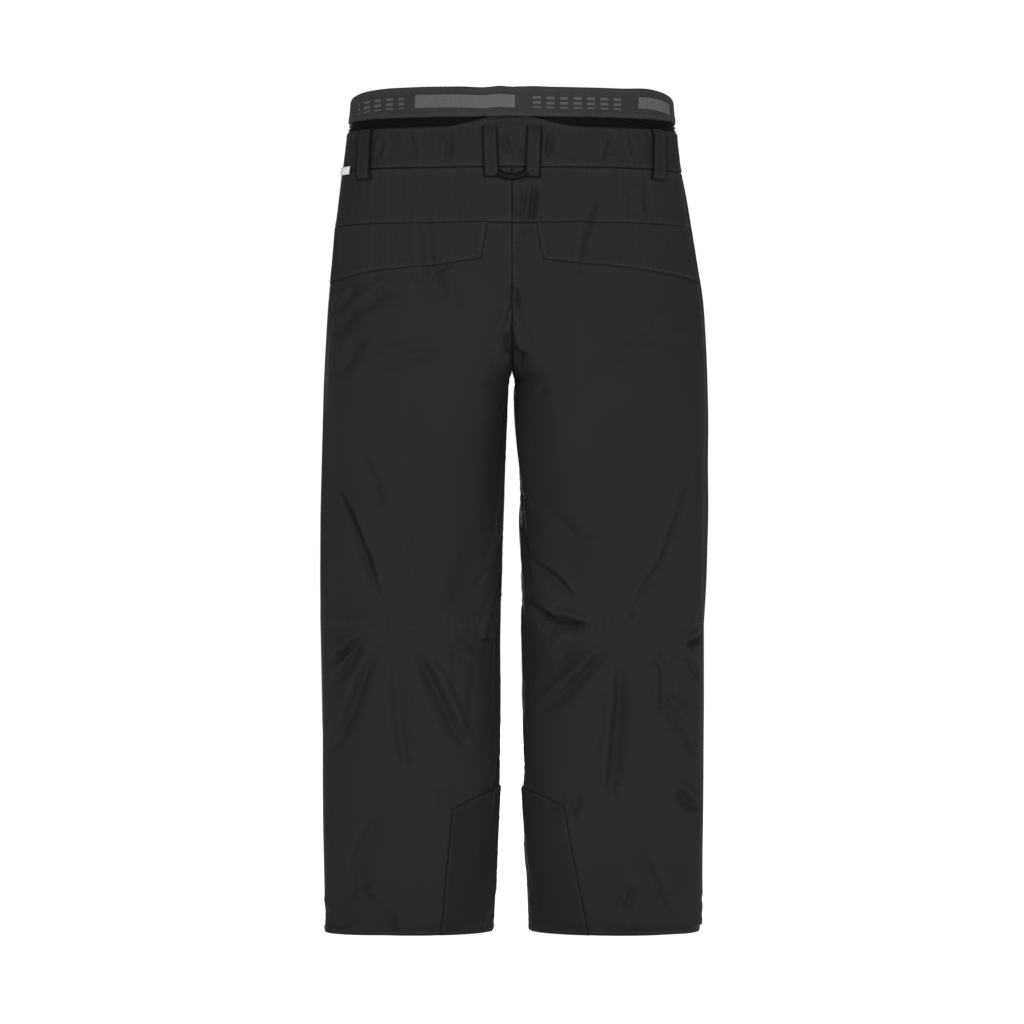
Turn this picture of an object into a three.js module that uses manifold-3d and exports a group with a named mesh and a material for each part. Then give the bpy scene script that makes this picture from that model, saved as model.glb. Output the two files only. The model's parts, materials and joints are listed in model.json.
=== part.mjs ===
// Ski pants, hanging open in their worn shape. Millimetres, +Z up, wearer's front towards -Y, wearer's
// left towards +X. The origin is the centre of the waist opening at the top of the elastic back waist.
import * as THREE from "three";
import { mergeVertices } from "three/addons/utils/BufferGeometryUtils.js";
import Module from "manifold-3d";

const wasm = await Module();
wasm.setup();

// ---------------------------------------------------------------- driving dimensions
// Heights, measured down from the top of the back waist.
const ELASTIC_HEIGHT = 37; // woven elastic at the back waist
const CASING_HEIGHT = 13; // gathered cloth between the elastic and the shell waistband
const WAISTBAND_HEIGHT = 51;
const YOKE_HEIGHT = 69;
const RISE = 355; // top of the waist to the crotch
const INSEAM = 705; // crotch to hem
const KNEE_DROP = 310; // crotch to the knee seam
const HIP_LEVEL = 260;

// Half widths to the outer side and half depths of the filled-out form.
const WAIST = { half: 203, depth: 85 };
const BAND = { half: 215, depth: 97 };
const HIP = { half: 236.5, depth: 113 };
const CROTCH = { half: 241, depth: 105, gap: 4 };
const THIGH = { half: 244.3, depth: 90.5, gap: 10 };
const KNEE = { half: 243, depth: 79.5, gap: 14 };
const CALF = { half: 241, depth: 69, gap: 16.3 };
const HEM = { half: 237.5, depth: 65, gap: 24 };
const ROUNDNESS = 2.3; // superellipse power of the waist, hip and leg outlines
const FACETS = 28; // flats round one leg, or round half of the trunk

// Cloth and clearances.
const SHELL = 1.6; // shell cloth with its seam allowance
const BAND_CLOTH = 2.6; // folded waistband
const ELASTIC = 3;
const FIT = 0.3; // clearance between sewn neighbours
const OVERLAY = 0.7; // clearance under a piece laid over the curved shell
const OVERLAY_CLOTH = 1.4;

// Where the legs and trunk bend.
const HIP_AXIS = 300; // hip hinge, below the top of the waist
const HIP_BAND_TOP = 345;
const HIP_BAND_END = 440;
const KNEE_BAND_UP = 25; // knee band above the knee seam
const KNEE_BAND_DOWN = 94;

// Openings and fastenings.
const WAIST_WRAP = 0.57; // how far round from the back the elastic runs (0.5 is the side)
const ELASTIC_END_DROP = 13;
const FRONT_TOP = 22; // front waistband below the back waist, at the sides
const FRONT_DROP = 23; // and how much lower it is at the fly
const LOOP = { width: 19, length: 63, cloth: 1.8, gap: 6.6, tack: 9, seat: 0.5 };
const LOOP_X = { back: 27, side: 187, front: 118 }; // from the centre seams
const HANG_LOOP = { clear: 2, web: 8, cloth: 1.4, top: 52, bottom: 119, stand: 0.8 };
const FLAP = { start: 34, end: 200, inner: 45, outer: 69 };
const LABEL = { start: 0.412, end: 0.47, drop: 5, height: 9, cloth: 0.8 };
const ZIP = { tape: 22, cloth: 1, coil: 4, coilHeight: 1.6, seat: 0.3 };
const SLIDER = { width: 9.6, length: 12, foot: 0.4, height: 5.2, top: 1 };
const BAIL = { width: 2.4, wall: 1.5, length: 7.5, height: 3.6, roof: 1.4, back: 2 };
const PULLER = { width: 8, length: 28, cloth: 1.4, eye: 2, nose: 5.8 };
const FLY = { drop: 3, length: 112 }; // each zip's drop is below the seam above it
const HAND_POCKET = { facet: 18.5, drop: 7, length: 146, bagDrop: 42, bag: 4 };
const VENT = { facet: 16.5, drop: 15, length: 146 };
const PLACKET = { hinge: 26, free: -22, lean: 6, stand: 10.2, cloth: 1.4, seat: 1.3, over: 3 };
const TAB = { hinge: 29, free: -27, lean: 4, stand: 3.7, cloth: 1.6, seat: 0.3, top: 52, height: 40 };
const SNAP = { radius: 8, stud: 5.5, height: 2.2, x: -15 };
const GUARD = { round: 0.19, height: 182, slope: 40 };
const GAITER = { height: 190, above: 25, cloth: 1.2, taper: 24 }; // above is from hem to elastic
const HEM_FACING = { height: 25, cloth: 2.8 };

// ---------------------------------------------------------------- levels worked out from them
const ELASTIC_BOTTOM = ELASTIC_HEIGHT;
const CASING_BOTTOM = ELASTIC_BOTTOM + CASING_HEIGHT;
const BAND_BOTTOM = CASING_BOTTOM + WAISTBAND_HEIGHT;
const YOKE_BOTTOM = BAND_BOTTOM + YOKE_HEIGHT;
const KNEE_LEVEL = RISE + KNEE_DROP;
const LENGTH = RISE + INSEAM;
const KNEE_BAND_TOP = KNEE_LEVEL - KNEE_BAND_UP;
const KNEE_BAND_END = KNEE_LEVEL + KNEE_BAND_DOWN;
const RISE_CURVE_START = 200; // where the crotch starts to draw the two sides in
const SPLIT = 0.0005; // half of the slit where an open tube's two edges meet, as a share of its outline
const HALF_SEAM = 0.2; // half of the clearance along the centre seam

// The stations of the form from waist to hem, and the drops where a panel gets a row of points.
const STATIONS = [
  { drop: 0, ...WAIST, gap: 0 },
  { drop: BAND_BOTTOM, ...BAND, gap: 0 },
  { drop: HIP_LEVEL, ...HIP, gap: 0 },
  { drop: RISE, ...CROTCH },
  { drop: (RISE + KNEE_LEVEL) / 2 + 20, ...THIGH },
  { drop: KNEE_LEVEL, ...KNEE },
  { drop: LENGTH - 180, ...CALF },
  { drop: LENGTH, ...HEM },
];
const CROTCH_ROWS = [0.35, 0.65, 0.85, 0.95].map(
  (share) => RISE_CURVE_START + share * (RISE - RISE_CURVE_START),
);
const LEVELS = [...STATIONS.map((s) => s.drop), ...CROTCH_ROWS].sort((a, b) => a - b);

// ---------------------------------------------------------------- materials
const fabric = (color, roughness = 0.85) =>
  new THREE.MeshStandardMaterial({ color, roughness, metalness: 0 });
const SHELL_CLOTH = fabric(0x2b2b2c);
const GUARD_CLOTH = fabric(0x232324);
const ELASTIC_WEAVE = fabric(0x3c3c3d);
const WEBBING = fabric(0x2a2a2b);
const LABEL_CLOTH = fabric(0xe8e8e8);
const LINING_CLOTH = fabric(0x34363a);
const ZIP_CLOTH = fabric(0x1c1c1d, 0.7);
const ZIP_PLASTIC = new THREE.MeshStandardMaterial({ color: 0x1a1a1b, roughness: 0.45 });
const SNAP_METAL = new THREE.MeshStandardMaterial({ color: 0x3a3a3c, roughness: 0.4, metalness: 1 });

// ---------------------------------------------------------------- the form
const mix = (a, b, share) => a + (b - a) * share;
const clamp01 = (value) => Math.min(1, Math.max(0, value));
const ease = (value) => clamp01(value) ** 2 * (3 - 2 * clamp01(value));
const power = (value) => Math.sign(value) * Math.abs(value) ** (2 / ROUNDNESS);

// Half width, half depth and inner gap at a drop below the waist.
function station(drop) {
  const last = STATIONS.length - 2;
  const i = Math.min(last, Math.max(0, STATIONS.findIndex((s) => s.drop >= drop) - 1));
  const [above, below] = [STATIONS[i], STATIONS[i + 1]];
  const share = (drop - above.drop) / (below.drop - above.drop);
  return {
    half: mix(above.half, below.half, share),
    depth: mix(above.depth, below.depth, share),
    gap: mix(above.gap, below.gap, share),
  };
}

// How far the outline has turned from half of the trunk (0) into a closed leg (1).
function legShare(drop, offset) {
  const share = clamp01((drop - RISE_CURVE_START) / (RISE + offset - RISE_CURVE_START));
  return 1 - Math.sqrt(1 - share * share);
}

// One corner of the left side's outline: 0 is the back seam, half way round is the outer side.
function corner(k, drop, offset) {
  const { half, depth, gap } = station(drop);
  const angle = Math.PI * (1 - (2 * k) / FACETS);
  const across = power(Math.cos(angle));
  const turned = legShare(drop, offset);
  const inner = (gap - offset) * turned;
  const x = mix(inner, half + offset, (1 + across) / 2);
  const legDepth = Math.abs(power(Math.sin(angle)));
  const trunkDepth = (1 - ((1 + across) / 2) ** ROUNDNESS) ** (1 / ROUNDNESS);
  const front = 2 * k > FACETS ? -1 : 1;
  return [x, front * (depth + offset) * mix(trunkDepth, legDepth, turned)];
}

// A point of the left side, `offset` outside the shell's outer face. Past the back seam the trunk goes
// on to the right side, and a leg goes on round its inseam.
function surface(round, drop, offset, seam = HALF_SEAM) {
  if (round < 0 && drop <= RISE) {
    const [x, y, z] = surface(-round, drop, offset, seam);
    return [-x, y, z];
  }
  const place = (round < 0 ? round + 1 : round) * FACETS;
  const k = Math.min(FACETS - 1, Math.floor(place));
  const [from, to] = [corner(k, drop, offset), corner(k + 1, drop, offset)];
  const x = mix(from[0], to[0], place - k);
  return [Math.max(x, seam), mix(from[1], to[1], place - k), -drop];
}

// The share of the way round at which the back (or front) of the trunk is `x` from the centre.
function roundAt(x, drop) {
  let [low, high] = [0, 0.5];
  for (let i = 0; i < 40; i += 1) {
    const middle = (low + high) / 2;
    if (surface(middle, drop, 0)[0] < x) low = middle;
    else high = middle;
  }
  return low;
}

// Outward normal of the left side at a place.
function normalAt(round, drop) {
  const step = 0.2 / FACETS;
  const a = new THREE.Vector3(...surface(round - step, drop, 0));
  const b = new THREE.Vector3(...surface(round + step, drop, 0));
  const up = new THREE.Vector3(...surface(round, drop - 10, 0));
  const down = new THREE.Vector3(...surface(round, drop + 10, 0));
  return b.sub(a).cross(up.sub(down)).normalize().negate();
}

// ---------------------------------------------------------------- solids
function volumeOf(points, faces) {
  return faces.reduce((sum, [a, b, c]) => {
    const [p, q, r] = [points[a], points[b], points[c]];
    return sum + p[0] * (q[1] * r[2] - q[2] * r[1]) + p[1] * (q[2] * r[0] - q[0] * r[2])
      + p[2] * (q[0] * r[1] - q[1] * r[0]);
  }, 0);
}

function geometryOf(points, faces) {
  const out = volumeOf(points, faces) < 0 ? faces.map(([a, b, c]) => [a, c, b]) : faces;
  const geometry = new THREE.BufferGeometry();
  geometry.setAttribute("position", new THREE.Float32BufferAttribute(points.flat(), 3));
  geometry.setIndex(out.flat());
  return geometry;
}

// A closed solid between two grids of points, one over the other. `closed` joins the last column to
// the first, which makes a ring.
function solidBetween(outer, inner, closed = false) {
  const rows = outer.length;
  const columns = outer[0].length;
  const points = [...outer.flat(), ...inner.flat()];
  const at = (skin, i, j) => skin * rows * columns + i * columns + (j % columns);
  const faces = [];
  const quad = (a, b, c, d) => faces.push([a, b, c], [a, c, d]);
  const spans = closed ? columns : columns - 1;
  for (let j = 0; j < spans; j += 1) {
    for (let i = 0; i < rows - 1; i += 1) {
      quad(at(0, i, j), at(0, i + 1, j), at(0, i + 1, j + 1), at(0, i, j + 1));
      quad(at(1, i, j), at(1, i, j + 1), at(1, i + 1, j + 1), at(1, i + 1, j));
    }
    quad(at(0, 0, j), at(0, 0, j + 1), at(1, 0, j + 1), at(1, 0, j));
    quad(at(0, rows - 1, j), at(1, rows - 1, j), at(1, rows - 1, j + 1), at(0, rows - 1, j + 1));
  }
  for (let i = 0; !closed && i < rows - 1; i += 1) {
    quad(at(0, i, 0), at(1, i, 0), at(1, i + 1, 0), at(0, i + 1, 0));
    quad(at(0, i, spans), at(0, i + 1, spans), at(1, i + 1, spans), at(1, i, spans));
  }
  return geometryOf(points, faces);
}

// The corners of the form between two places round it, with both ends.
function columnsBetween(from, to) {
  const inside = [];
  for (let k = Math.ceil(from * FACETS + 0.05); k < to * FACETS - 0.05; k += 1) inside.push(k / FACETS);
  return [from, ...inside, to];
}

// A cloth patch over the columns, from one edge line to another, `outer` to `inner` off the shell.
function patch(columns, top, bottom, [outer, inner], seam = HALF_SEAM) {
  const [high, low] = [Math.max(...columns.map(top)), Math.min(...columns.map(bottom))];
  const shares = [0, ...LEVELS.filter((level) => level > high + 1 && level < low - 1)
    .map((level) => (level - high) / (low - high)), 1];
  const skin = (offset) => shares.map((share) =>
    columns.map((round) => surface(round, mix(top(round), bottom(round), share), offset, seam)));
  return solidBetween(skin(outer), skin(inner));
}

// A straight-edged panel of shell cloth, clear of its neighbours by half of the fit on every side.
function panel(from, to, top, bottom, thickness = SHELL) {
  const columns = columnsBetween(from + SPLIT, to - SPLIT);
  return patch(columns, () => top + FIT / 2, () => bottom - FIT / 2, [0, -thickness]);
}

// A tube round one leg, with its outer and inner faces at an offset for each drop.
function tube(sections) {
  const rounds = Array.from({ length: FACETS }, (_, k) => k / FACETS);
  const skin = (side) => sections.map(({ drop, offsets }) =>
    rounds.map((round) => surface(round, drop, offsets[side])));
  return solidBetween(skin(0), skin(1), true);
}

// An outline in the x,y of a frame, extruded `depth` along its z, centred on the frame's origin.
function prism(outline, depth, { origin, x, y, z }) {
  const shape = new THREE.Shape(outline.map(([a, b]) => new THREE.Vector2(a, b)));
  const geometry = new THREE.ExtrudeGeometry(shape, { depth, bevelEnabled: false });
  geometry.translate(0, 0, -depth / 2);
  geometry.applyMatrix4(new THREE.Matrix4().makeBasis(x, y, z).setPosition(origin));
  return bare(geometry);
}

// Only shared positions are left.
function bare(geometry) {
  geometry.deleteAttribute("normal");
  geometry.deleteAttribute("uv");
  return mergeVertices(geometry, 1e-4);
}

function solid(geometry) {
  const merged = bare(geometry.clone());
  return new wasm.Manifold(new wasm.Mesh({
    numProp: 3,
    vertProperties: new Float32Array(merged.attributes.position.array),
    triVerts: new Uint32Array(merged.index.array),
  }));
}

function geometryFrom(manifold) {
  const mesh = manifold.getMesh();
  const geometry = new THREE.BufferGeometry();
  geometry.setAttribute("position", new THREE.BufferAttribute(new Float32Array(mesh.vertProperties), 3));
  geometry.setIndex(new THREE.BufferAttribute(new Uint32Array(mesh.triVerts), 1));
  return geometry;
}

function boxAt([x0, x1], [y0, y1], [z0, z1]) {
  const geometry = new THREE.BoxGeometry(x1 - x0, y1 - y0, z1 - z0);
  return geometry.translate((x0 + x1) / 2, (y0 + y1) / 2, (z0 + z1) / 2);
}

// ---------------------------------------------------------------- the assembly
const pants = new THREE.Group();

function add(name, geometry, material) {
  const mesh = new THREE.Mesh(geometry, material);
  mesh.name = name;
  pants.add(mesh);
}

// The right side's copy of a left-side solid.
function mirrored(geometry) {
  const copy = geometry.clone().scale(-1, 1, 1);
  const index = copy.index.array;
  for (let i = 0; i < index.length; i += 3) [index[i + 1], index[i + 2]] = [index[i + 2], index[i + 1]];
  return copy;
}

function addPair(name, geometry, material) {
  add(`${name}_left`, geometry, material);
  add(`${name}_right`, mirrored(geometry), material);
}

// ---------------------------------------------------------------- waist
const elasticTop = (round) => ELASTIC_END_DROP * ease((Math.abs(round) - 0.35) / (WAIST_WRAP - 0.35));
const frontTop = (round) => FRONT_TOP + FRONT_DROP * ease((round - WAIST_WRAP) / (1 - WAIST_WRAP));
const level = (drop) => () => drop;

function addWaist() {
  const across = columnsBetween(-WAIST_WRAP, WAIST_WRAP);
  add("elastic_waistband", patch(across, elasticTop, level(ELASTIC_BOTTOM), [0, -ELASTIC], 0), ELASTIC_WEAVE);
  const casing = [-OVERLAY, -OVERLAY - SHELL];
  const casingEnds = [level(ELASTIC_BOTTOM + FIT), level(CASING_BOTTOM - FIT)];
  add("gathered_casing", patch(across, ...casingEnds, casing, 0), SHELL_CLOTH);
  const bandEnds = [level(CASING_BOTTOM), level(BAND_BOTTOM - FIT / 2)];
  add("back_waistband", patch(across, ...bandEnds, [0, -BAND_CLOTH], 0), SHELL_CLOTH);
  const front = columnsBetween(WAIST_WRAP + 2 * SPLIT, 1);
  const frontEnds = [frontTop, level(BAND_BOTTOM - FIT / 2)];
  addPair("front_waistband", patch(front, ...frontEnds, [0, -BAND_CLOTH]), SHELL_CLOTH);
}

// ---------------------------------------------------------------- trunk and legs
function addPanels() {
  addPair("back_yoke", panel(0, 0.5, BAND_BOTTOM, YOKE_BOTTOM), SHELL_CLOTH);
  addPair("seat_panel", panel(0, 0.5, YOKE_BOTTOM, HIP_BAND_TOP), SHELL_CLOTH);
  addPair("front_panel", panel(0.5, 1, BAND_BOTTOM, HIP_BAND_TOP), SHELL_CLOTH);
  addPair("hip_band", panel(0, 1, HIP_BAND_TOP, HIP_BAND_END), SHELL_CLOTH);
  for (const [side, from] of [["back", 0], ["front", 0.5]]) {
    const to = from + 0.5;
    addPair(`thigh_${side}`, panel(from, to, HIP_BAND_END, KNEE_BAND_TOP), SHELL_CLOTH);
    addPair(`shin_${side}`, panel(from, to, KNEE_BAND_END, LENGTH + FIT / 2), SHELL_CLOTH);
  }
  const kneeBand = [KNEE_BAND_TOP + FIT / 2, KNEE_LEVEL, KNEE_BAND_END - FIT / 2];
  addPair("knee_band", tube(kneeBand.map((drop) => ({ drop, offsets: [0, -SHELL] }))), SHELL_CLOTH);
}

function addHems() {
  const guardTop = (round) => LENGTH - GUARD.height + GUARD.slope * (round / GUARD.round) ** 2;
  const columns = columnsBetween(-GUARD.round, GUARD.round);
  const guard = patch(columns, guardTop, level(LENGTH), [OVERLAY + OVERLAY_CLOTH, OVERLAY]);
  addPair("scuff_guard", guard, GUARD_CLOTH);
  const gaiter = [0, 0.4, 1].map((share) => {
    const outer = -SHELL - FIT - GAITER.taper * share;
    const drop = LENGTH - mix(GAITER.height, GAITER.above, share);
    return { drop, offsets: [outer, outer - GAITER.cloth] };
  });
  addPair("snow_gaiter", tube(gaiter), LINING_CLOTH);
  const facing = [-SHELL - FIT, -SHELL - FIT - HEM_FACING.cloth];
  const rows = [LENGTH - HEM_FACING.height, LENGTH];
  addPair("hem_facing", tube(rows.map((drop) => ({ drop, offsets: facing }))), SHELL_CLOTH);
}

// ---------------------------------------------------------------- loops, label and flaps
// A strap sewn down at both ends, with a gap for a belt behind it.
function beltLoop(round) {
  const top = new THREE.Vector3(...surface(round, CASING_BOTTOM, 0));
  const low = new THREE.Vector3(...surface(round, CASING_BOTTOM + LOOP.length, 0));
  const up = top.clone().sub(low).normalize();
  const flat = normalAt(round, BAND_BOTTOM);
  const across = up.clone().cross(flat).normalize();
  const out = across.clone().cross(up);
  const half = top.distanceTo(low) / 2;
  const [seat, stand] = [LOOP.seat, LOOP.seat + LOOP.gap];
  const inner = [[seat, half], [seat, half - LOOP.tack / 2], [stand, half - LOOP.tack],
    [stand, LOOP.tack - half], [seat, LOOP.tack / 2 - half], [seat, -half]];
  const outer = inner.map(([a, b]) => [a + LOOP.cloth, b]).reverse();
  const origin = top.add(low).multiplyScalar(0.5);
  return prism([...inner, ...outer], LOOP.width, { origin, x: out, y: up, z: across.negate() });
}

function addLoops() {
  const round = (x) => roundAt(x, BAND_BOTTOM);
  addPair("belt_loop_back", beltLoop(round(LOOP_X.back)), WEBBING);
  addPair("belt_loop_side", beltLoop(round(LOOP_X.side)), WEBBING);
  addPair("belt_loop_front", beltLoop(1 - round(LOOP_X.front)), WEBBING);
}

// A U of webbing that hangs between the two back belt loops.
function addHangingLoop() {
  const { clear, web, cloth, top, bottom, stand } = HANG_LOOP;
  const half = LOOP_X.back - LOOP.width / 2 - clear;
  const arc = (radius) => Array.from({ length: 11 }, (_, i) => {
    const turn = Math.PI * (1 + i / 10);
    return [radius * Math.cos(turn), half - bottom + radius * Math.sin(turn)];
  });
  const outline = [[-half, -top], ...arc(half), [half, -top], [half - web, -top],
    ...arc(half - web).reverse(), [web - half, -top]];
  const lean = new THREE.Vector3(...surface(0, top, 0, 0)).sub(new THREE.Vector3(...surface(0, bottom, 0, 0)));
  const up = lean.normalize();
  const across = new THREE.Vector3(-1, 0, 0);
  const out = across.clone().cross(up);
  const foot = new THREE.Vector3(...surface(0, top, 0, 0)).addScaledVector(up, top);
  const origin = foot.addScaledVector(out, stand + cloth / 2);
  add("hanging_loop", prism(outline, cloth, { origin, x: across, y: up, z: out }), WEBBING);
}

function addLabelAndFlaps() {
  const columns = columnsBetween(LABEL.start, LABEL.end);
  const top = BAND_BOTTOM + LABEL.drop;
  const cloth = [OVERLAY + LABEL.cloth, OVERLAY];
  add("side_label", patch(columns, level(top), level(top + LABEL.height), cloth), LABEL_CLOTH);

  const [start, end] = [roundAt(FLAP.start, YOKE_BOTTOM), roundAt(FLAP.end, YOKE_BOTTOM)];
  const share = (round) => (round - start) / (end - start);
  const hem = (round) => YOKE_BOTTOM + mix(FLAP.inner, FLAP.outer, share(round));
  const flap = patch(columnsBetween(start, end), level(YOKE_BOTTOM + FIT), hem,
    [OVERLAY + OVERLAY_CLOTH, OVERLAY]);
  addPair("back_pocket_flap", flap, SHELL_CLOTH);
}

// ---------------------------------------------------------------- zips
// The frame of a zip: x across it, y up along it, z out of the cloth, origin at its closed end.
// The tape is straight, so it is seated on the highest place of the cloth under it.
function zipFrame(round, top, length) {
  const spot = (at, drop) => new THREE.Vector3(...surface(at, drop, 0, 0));
  const [from, to] = [spot(round, top), spot(round, top + length)];
  const y = from.clone().sub(to).normalize();
  const inside = Math.min(round, 1 - 0.25 / FACETS);
  const x = y.clone().cross(normalAt(inside, top + length / 2)).normalize();
  const z = x.clone().cross(y);
  const under = [];
  for (let place = 0; place <= 10 * FACETS; place += 1) {
    for (let share = 0; share <= 8; share += 1) {
      under.push(spot(place / 10 / FACETS, top + (length * share) / 8).sub(from));
    }
  }
  const height = Math.max(...under
    .filter((reach) => Math.abs(reach.dot(x)) <= ZIP.tape / 2)
    .map((reach) => reach.dot(z)));
  const origin = from.clone().addScaledVector(z, height + ZIP.seat);
  return { origin, x, y, z, length: from.distanceTo(to) };
}

const placed = (geometry, { origin, x, y, z }) =>
  geometry.applyMatrix4(new THREE.Matrix4().makeBasis(x, y, z).setPosition(origin));

function zipTape(frame) {
  const [wide, coil] = [ZIP.tape / 2, ZIP.coil / 2];
  const ridge = ZIP.cloth + ZIP.coilHeight;
  const outline = [[-wide, 0], [wide, 0], [wide, ZIP.cloth], [coil, ZIP.cloth], [coil, ridge],
    [-coil, ridge], [-coil, ZIP.cloth], [-wide, ZIP.cloth]];
  const along = {
    origin: frame.origin.clone().addScaledVector(frame.y, -frame.length / 2),
    x: frame.x, y: frame.z, z: frame.y.clone().negate(),
  };
  return prism(outline, frame.length, along);
}

// The slider straddles the coil, with a bail on top that the puller's eye goes through.
function zipSlider(frame) {
  const [half, slot] = [SLIDER.width / 2, ZIP.coil / 2 + SLIDER.foot];
  const [foot, roof] = [ZIP.cloth + SLIDER.foot, ZIP.cloth + ZIP.coilHeight + SLIDER.foot];
  const [low, high] = [-SLIDER.top - SLIDER.length, -SLIDER.top];
  const overlap = 0.2;
  const body = [[[-half, half], [roof, SLIDER.height]],
    [[-half, -slot], [foot, roof + overlap]], [[slot, half], [foot, roof + overlap]]]
    .map(([x, z]) => boxAt(x, [low, high], z));
  const bailTop = high - BAIL.back;
  const bailLow = bailTop - BAIL.length;
  const tall = SLIDER.height + BAIL.height;
  const wide = [-BAIL.width / 2, BAIL.width / 2];
  const bail = [
    boxAt(wide, [bailLow, bailLow + BAIL.wall], [SLIDER.height - overlap, tall]),
    boxAt(wide, [bailTop - BAIL.wall, bailTop], [SLIDER.height - overlap, tall]),
    boxAt(wide, [bailLow, bailTop], [tall - BAIL.roof, tall]),
  ];
  const whole = [...body, ...bail].map(solid).reduce((sum, next) => sum.add(next));
  return placed(geometryFrom(whole), frame);
}

// The middle of the puller's eye bar, which is also its hinge.
const eyeAlong = -SLIDER.top - BAIL.back - BAIL.length / 2;
const eyeHeight = SLIDER.height + (BAIL.height - BAIL.roof) / 2;

function zipPuller(frame) {
  const [bar, half] = [PULLER.cloth / 2, PULLER.width / 2];
  const top = eyeAlong + bar;
  const shape = new THREE.Shape();
  shape.moveTo(-half, top);
  shape.lineTo(-half, top - PULLER.length + half);
  shape.absarc(0, top - PULLER.length + half, half, Math.PI, 2 * Math.PI, false);
  shape.lineTo(half, top);
  const [side, low] = [half - PULLER.eye, top - PULLER.cloth - PULLER.nose];
  const eye = [[-side, top - PULLER.cloth], [side, top - PULLER.cloth], [side, low], [-side, low]];
  shape.holes.push(new THREE.Path(eye.map(([x, y]) => new THREE.Vector2(x, y))));
  const options = { depth: PULLER.cloth, bevelEnabled: false, curveSegments: 6 };
  const geometry = new THREE.ExtrudeGeometry(shape, options).translate(0, 0, eyeHeight - bar);
  return placed(bare(geometry), frame);
}

function addZip(name, frame, addOne) {
  addOne(`${name}_tape`, zipTape(frame), ZIP_CLOTH);
  addOne(`${name}_slider`, zipSlider(frame), ZIP_PLASTIC);
  addOne(`${name}_puller`, zipPuller(frame), ZIP_PLASTIC);
}

const flyTop = BAND_BOTTOM + FLY.drop;
const pocketTop = BAND_BOTTOM + HAND_POCKET.drop;
const flyFrame = zipFrame(1, flyTop, FLY.length);
const pocketFrame = zipFrame(HAND_POCKET.facet / FACETS, pocketTop, HAND_POCKET.length);
const ventFrame = zipFrame(VENT.facet / FACETS, HIP_BAND_END + VENT.drop, VENT.length);

function addZips() {
  addZip("fly_zip", flyFrame, add);
  addZip("hand_pocket_zip", pocketFrame, addPair);
  addZip("thigh_vent_zip", ventFrame, addPair);
  const bag = [(HAND_POCKET.facet - 2) / FACETS, (HAND_POCKET.facet + 3) / FACETS];
  const bagEnds = [0, HAND_POCKET.length + HAND_POCKET.bagDrop].map((down) => level(pocketTop + down));
  const bagSides = [-SHELL - OVERLAY, -SHELL - OVERLAY - HAND_POCKET.bag];
  addPair("hand_pocket_bag", patch(columnsBetween(...bag), ...bagEnds, bagSides), LINING_CLOTH);
}

// ---------------------------------------------------------------- fly placket, waist tab and snap
// A flap that is sewn down along its hinge edge and stands over what it covers.
function standingFlap({ hinge, free, lean, stand, cloth, seat }, frame, height) {
  const inner = [[hinge, seat], [hinge - lean, stand], [free + lean, stand], [free, seat + cloth]];
  const outer = [[free, seat + 2 * cloth], [free + lean, stand + cloth], [hinge - lean, stand + cloth],
    [hinge, seat + cloth]];
  return prism([...inner, ...outer], height, frame);
}

// A frame on the flat middle of the front, half way down a height: x to the wearer's left, y out.
function frontFrame(top, height) {
  const from = new THREE.Vector3(...surface(1, top, 0, 0));
  const to = new THREE.Vector3(...surface(1, top + height, 0, 0));
  const up = from.clone().sub(to).normalize();
  const x = new THREE.Vector3(1, 0, 0);
  const y = up.clone().cross(x).negate();
  return { origin: from.add(to).multiplyScalar(0.5), x, y, z: x.clone().cross(y) };
}

const placketFrame = frontFrame(flyTop - PLACKET.over + FIT, FLY.length + 2 * PLACKET.over);
const tabFrame = frontFrame(TAB.top, TAB.height);

function disc(profile, from) {
  const shape = new THREE.LatheGeometry(profile.map(([r, h]) => new THREE.Vector2(r, h)), 20);
  const { origin, x, y, z } = tabFrame;
  const place = origin.clone().addScaledVector(x, SNAP.x).addScaledVector(y, from);
  shape.applyMatrix4(new THREE.Matrix4().makeBasis(x, y, z).setPosition(place));
  return bare(shape);
}

function addFly() {
  const placketHeight = FLY.length + 2 * PLACKET.over;
  add("fly_placket", standingFlap(PLACKET, placketFrame, placketHeight), SHELL_CLOTH);
  add("waist_tab", standingFlap(TAB, tabFrame, TAB.height), SHELL_CLOTH);
  const { radius, height, stud } = SNAP;
  const cap = [[0, 0], [radius, 0], [radius, height * 0.5], [radius * 0.8, height * 0.9], [0, height]];
  add("waist_snap_cap", disc(cap, TAB.stand + TAB.cloth + FIT), SNAP_METAL);
  const post = TAB.stand - 2 * FIT;
  const base = [[0, 0], [stud, 0], [stud, post * 0.4], [stud * 0.6, post * 0.5], [stud * 0.6, post], [0, post]];
  add("waist_snap_stud", disc(base, FIT), SNAP_METAL);
}

addWaist();
addPanels();
addHems();
addLoops();
addHangingLoop();
addLabelAndFlaps();
addZips();
addFly();

export default pants;
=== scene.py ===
"""Ski pants of black shell cloth, with an elastic back waist, belt loops, pocket flaps and scuff guards."""
import json
import math

import bmesh
import bpy
import numpy as np
from bpy.props import FloatProperty, FloatVectorProperty, IntProperty, PointerProperty
from mathutils import Matrix, Vector


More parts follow.
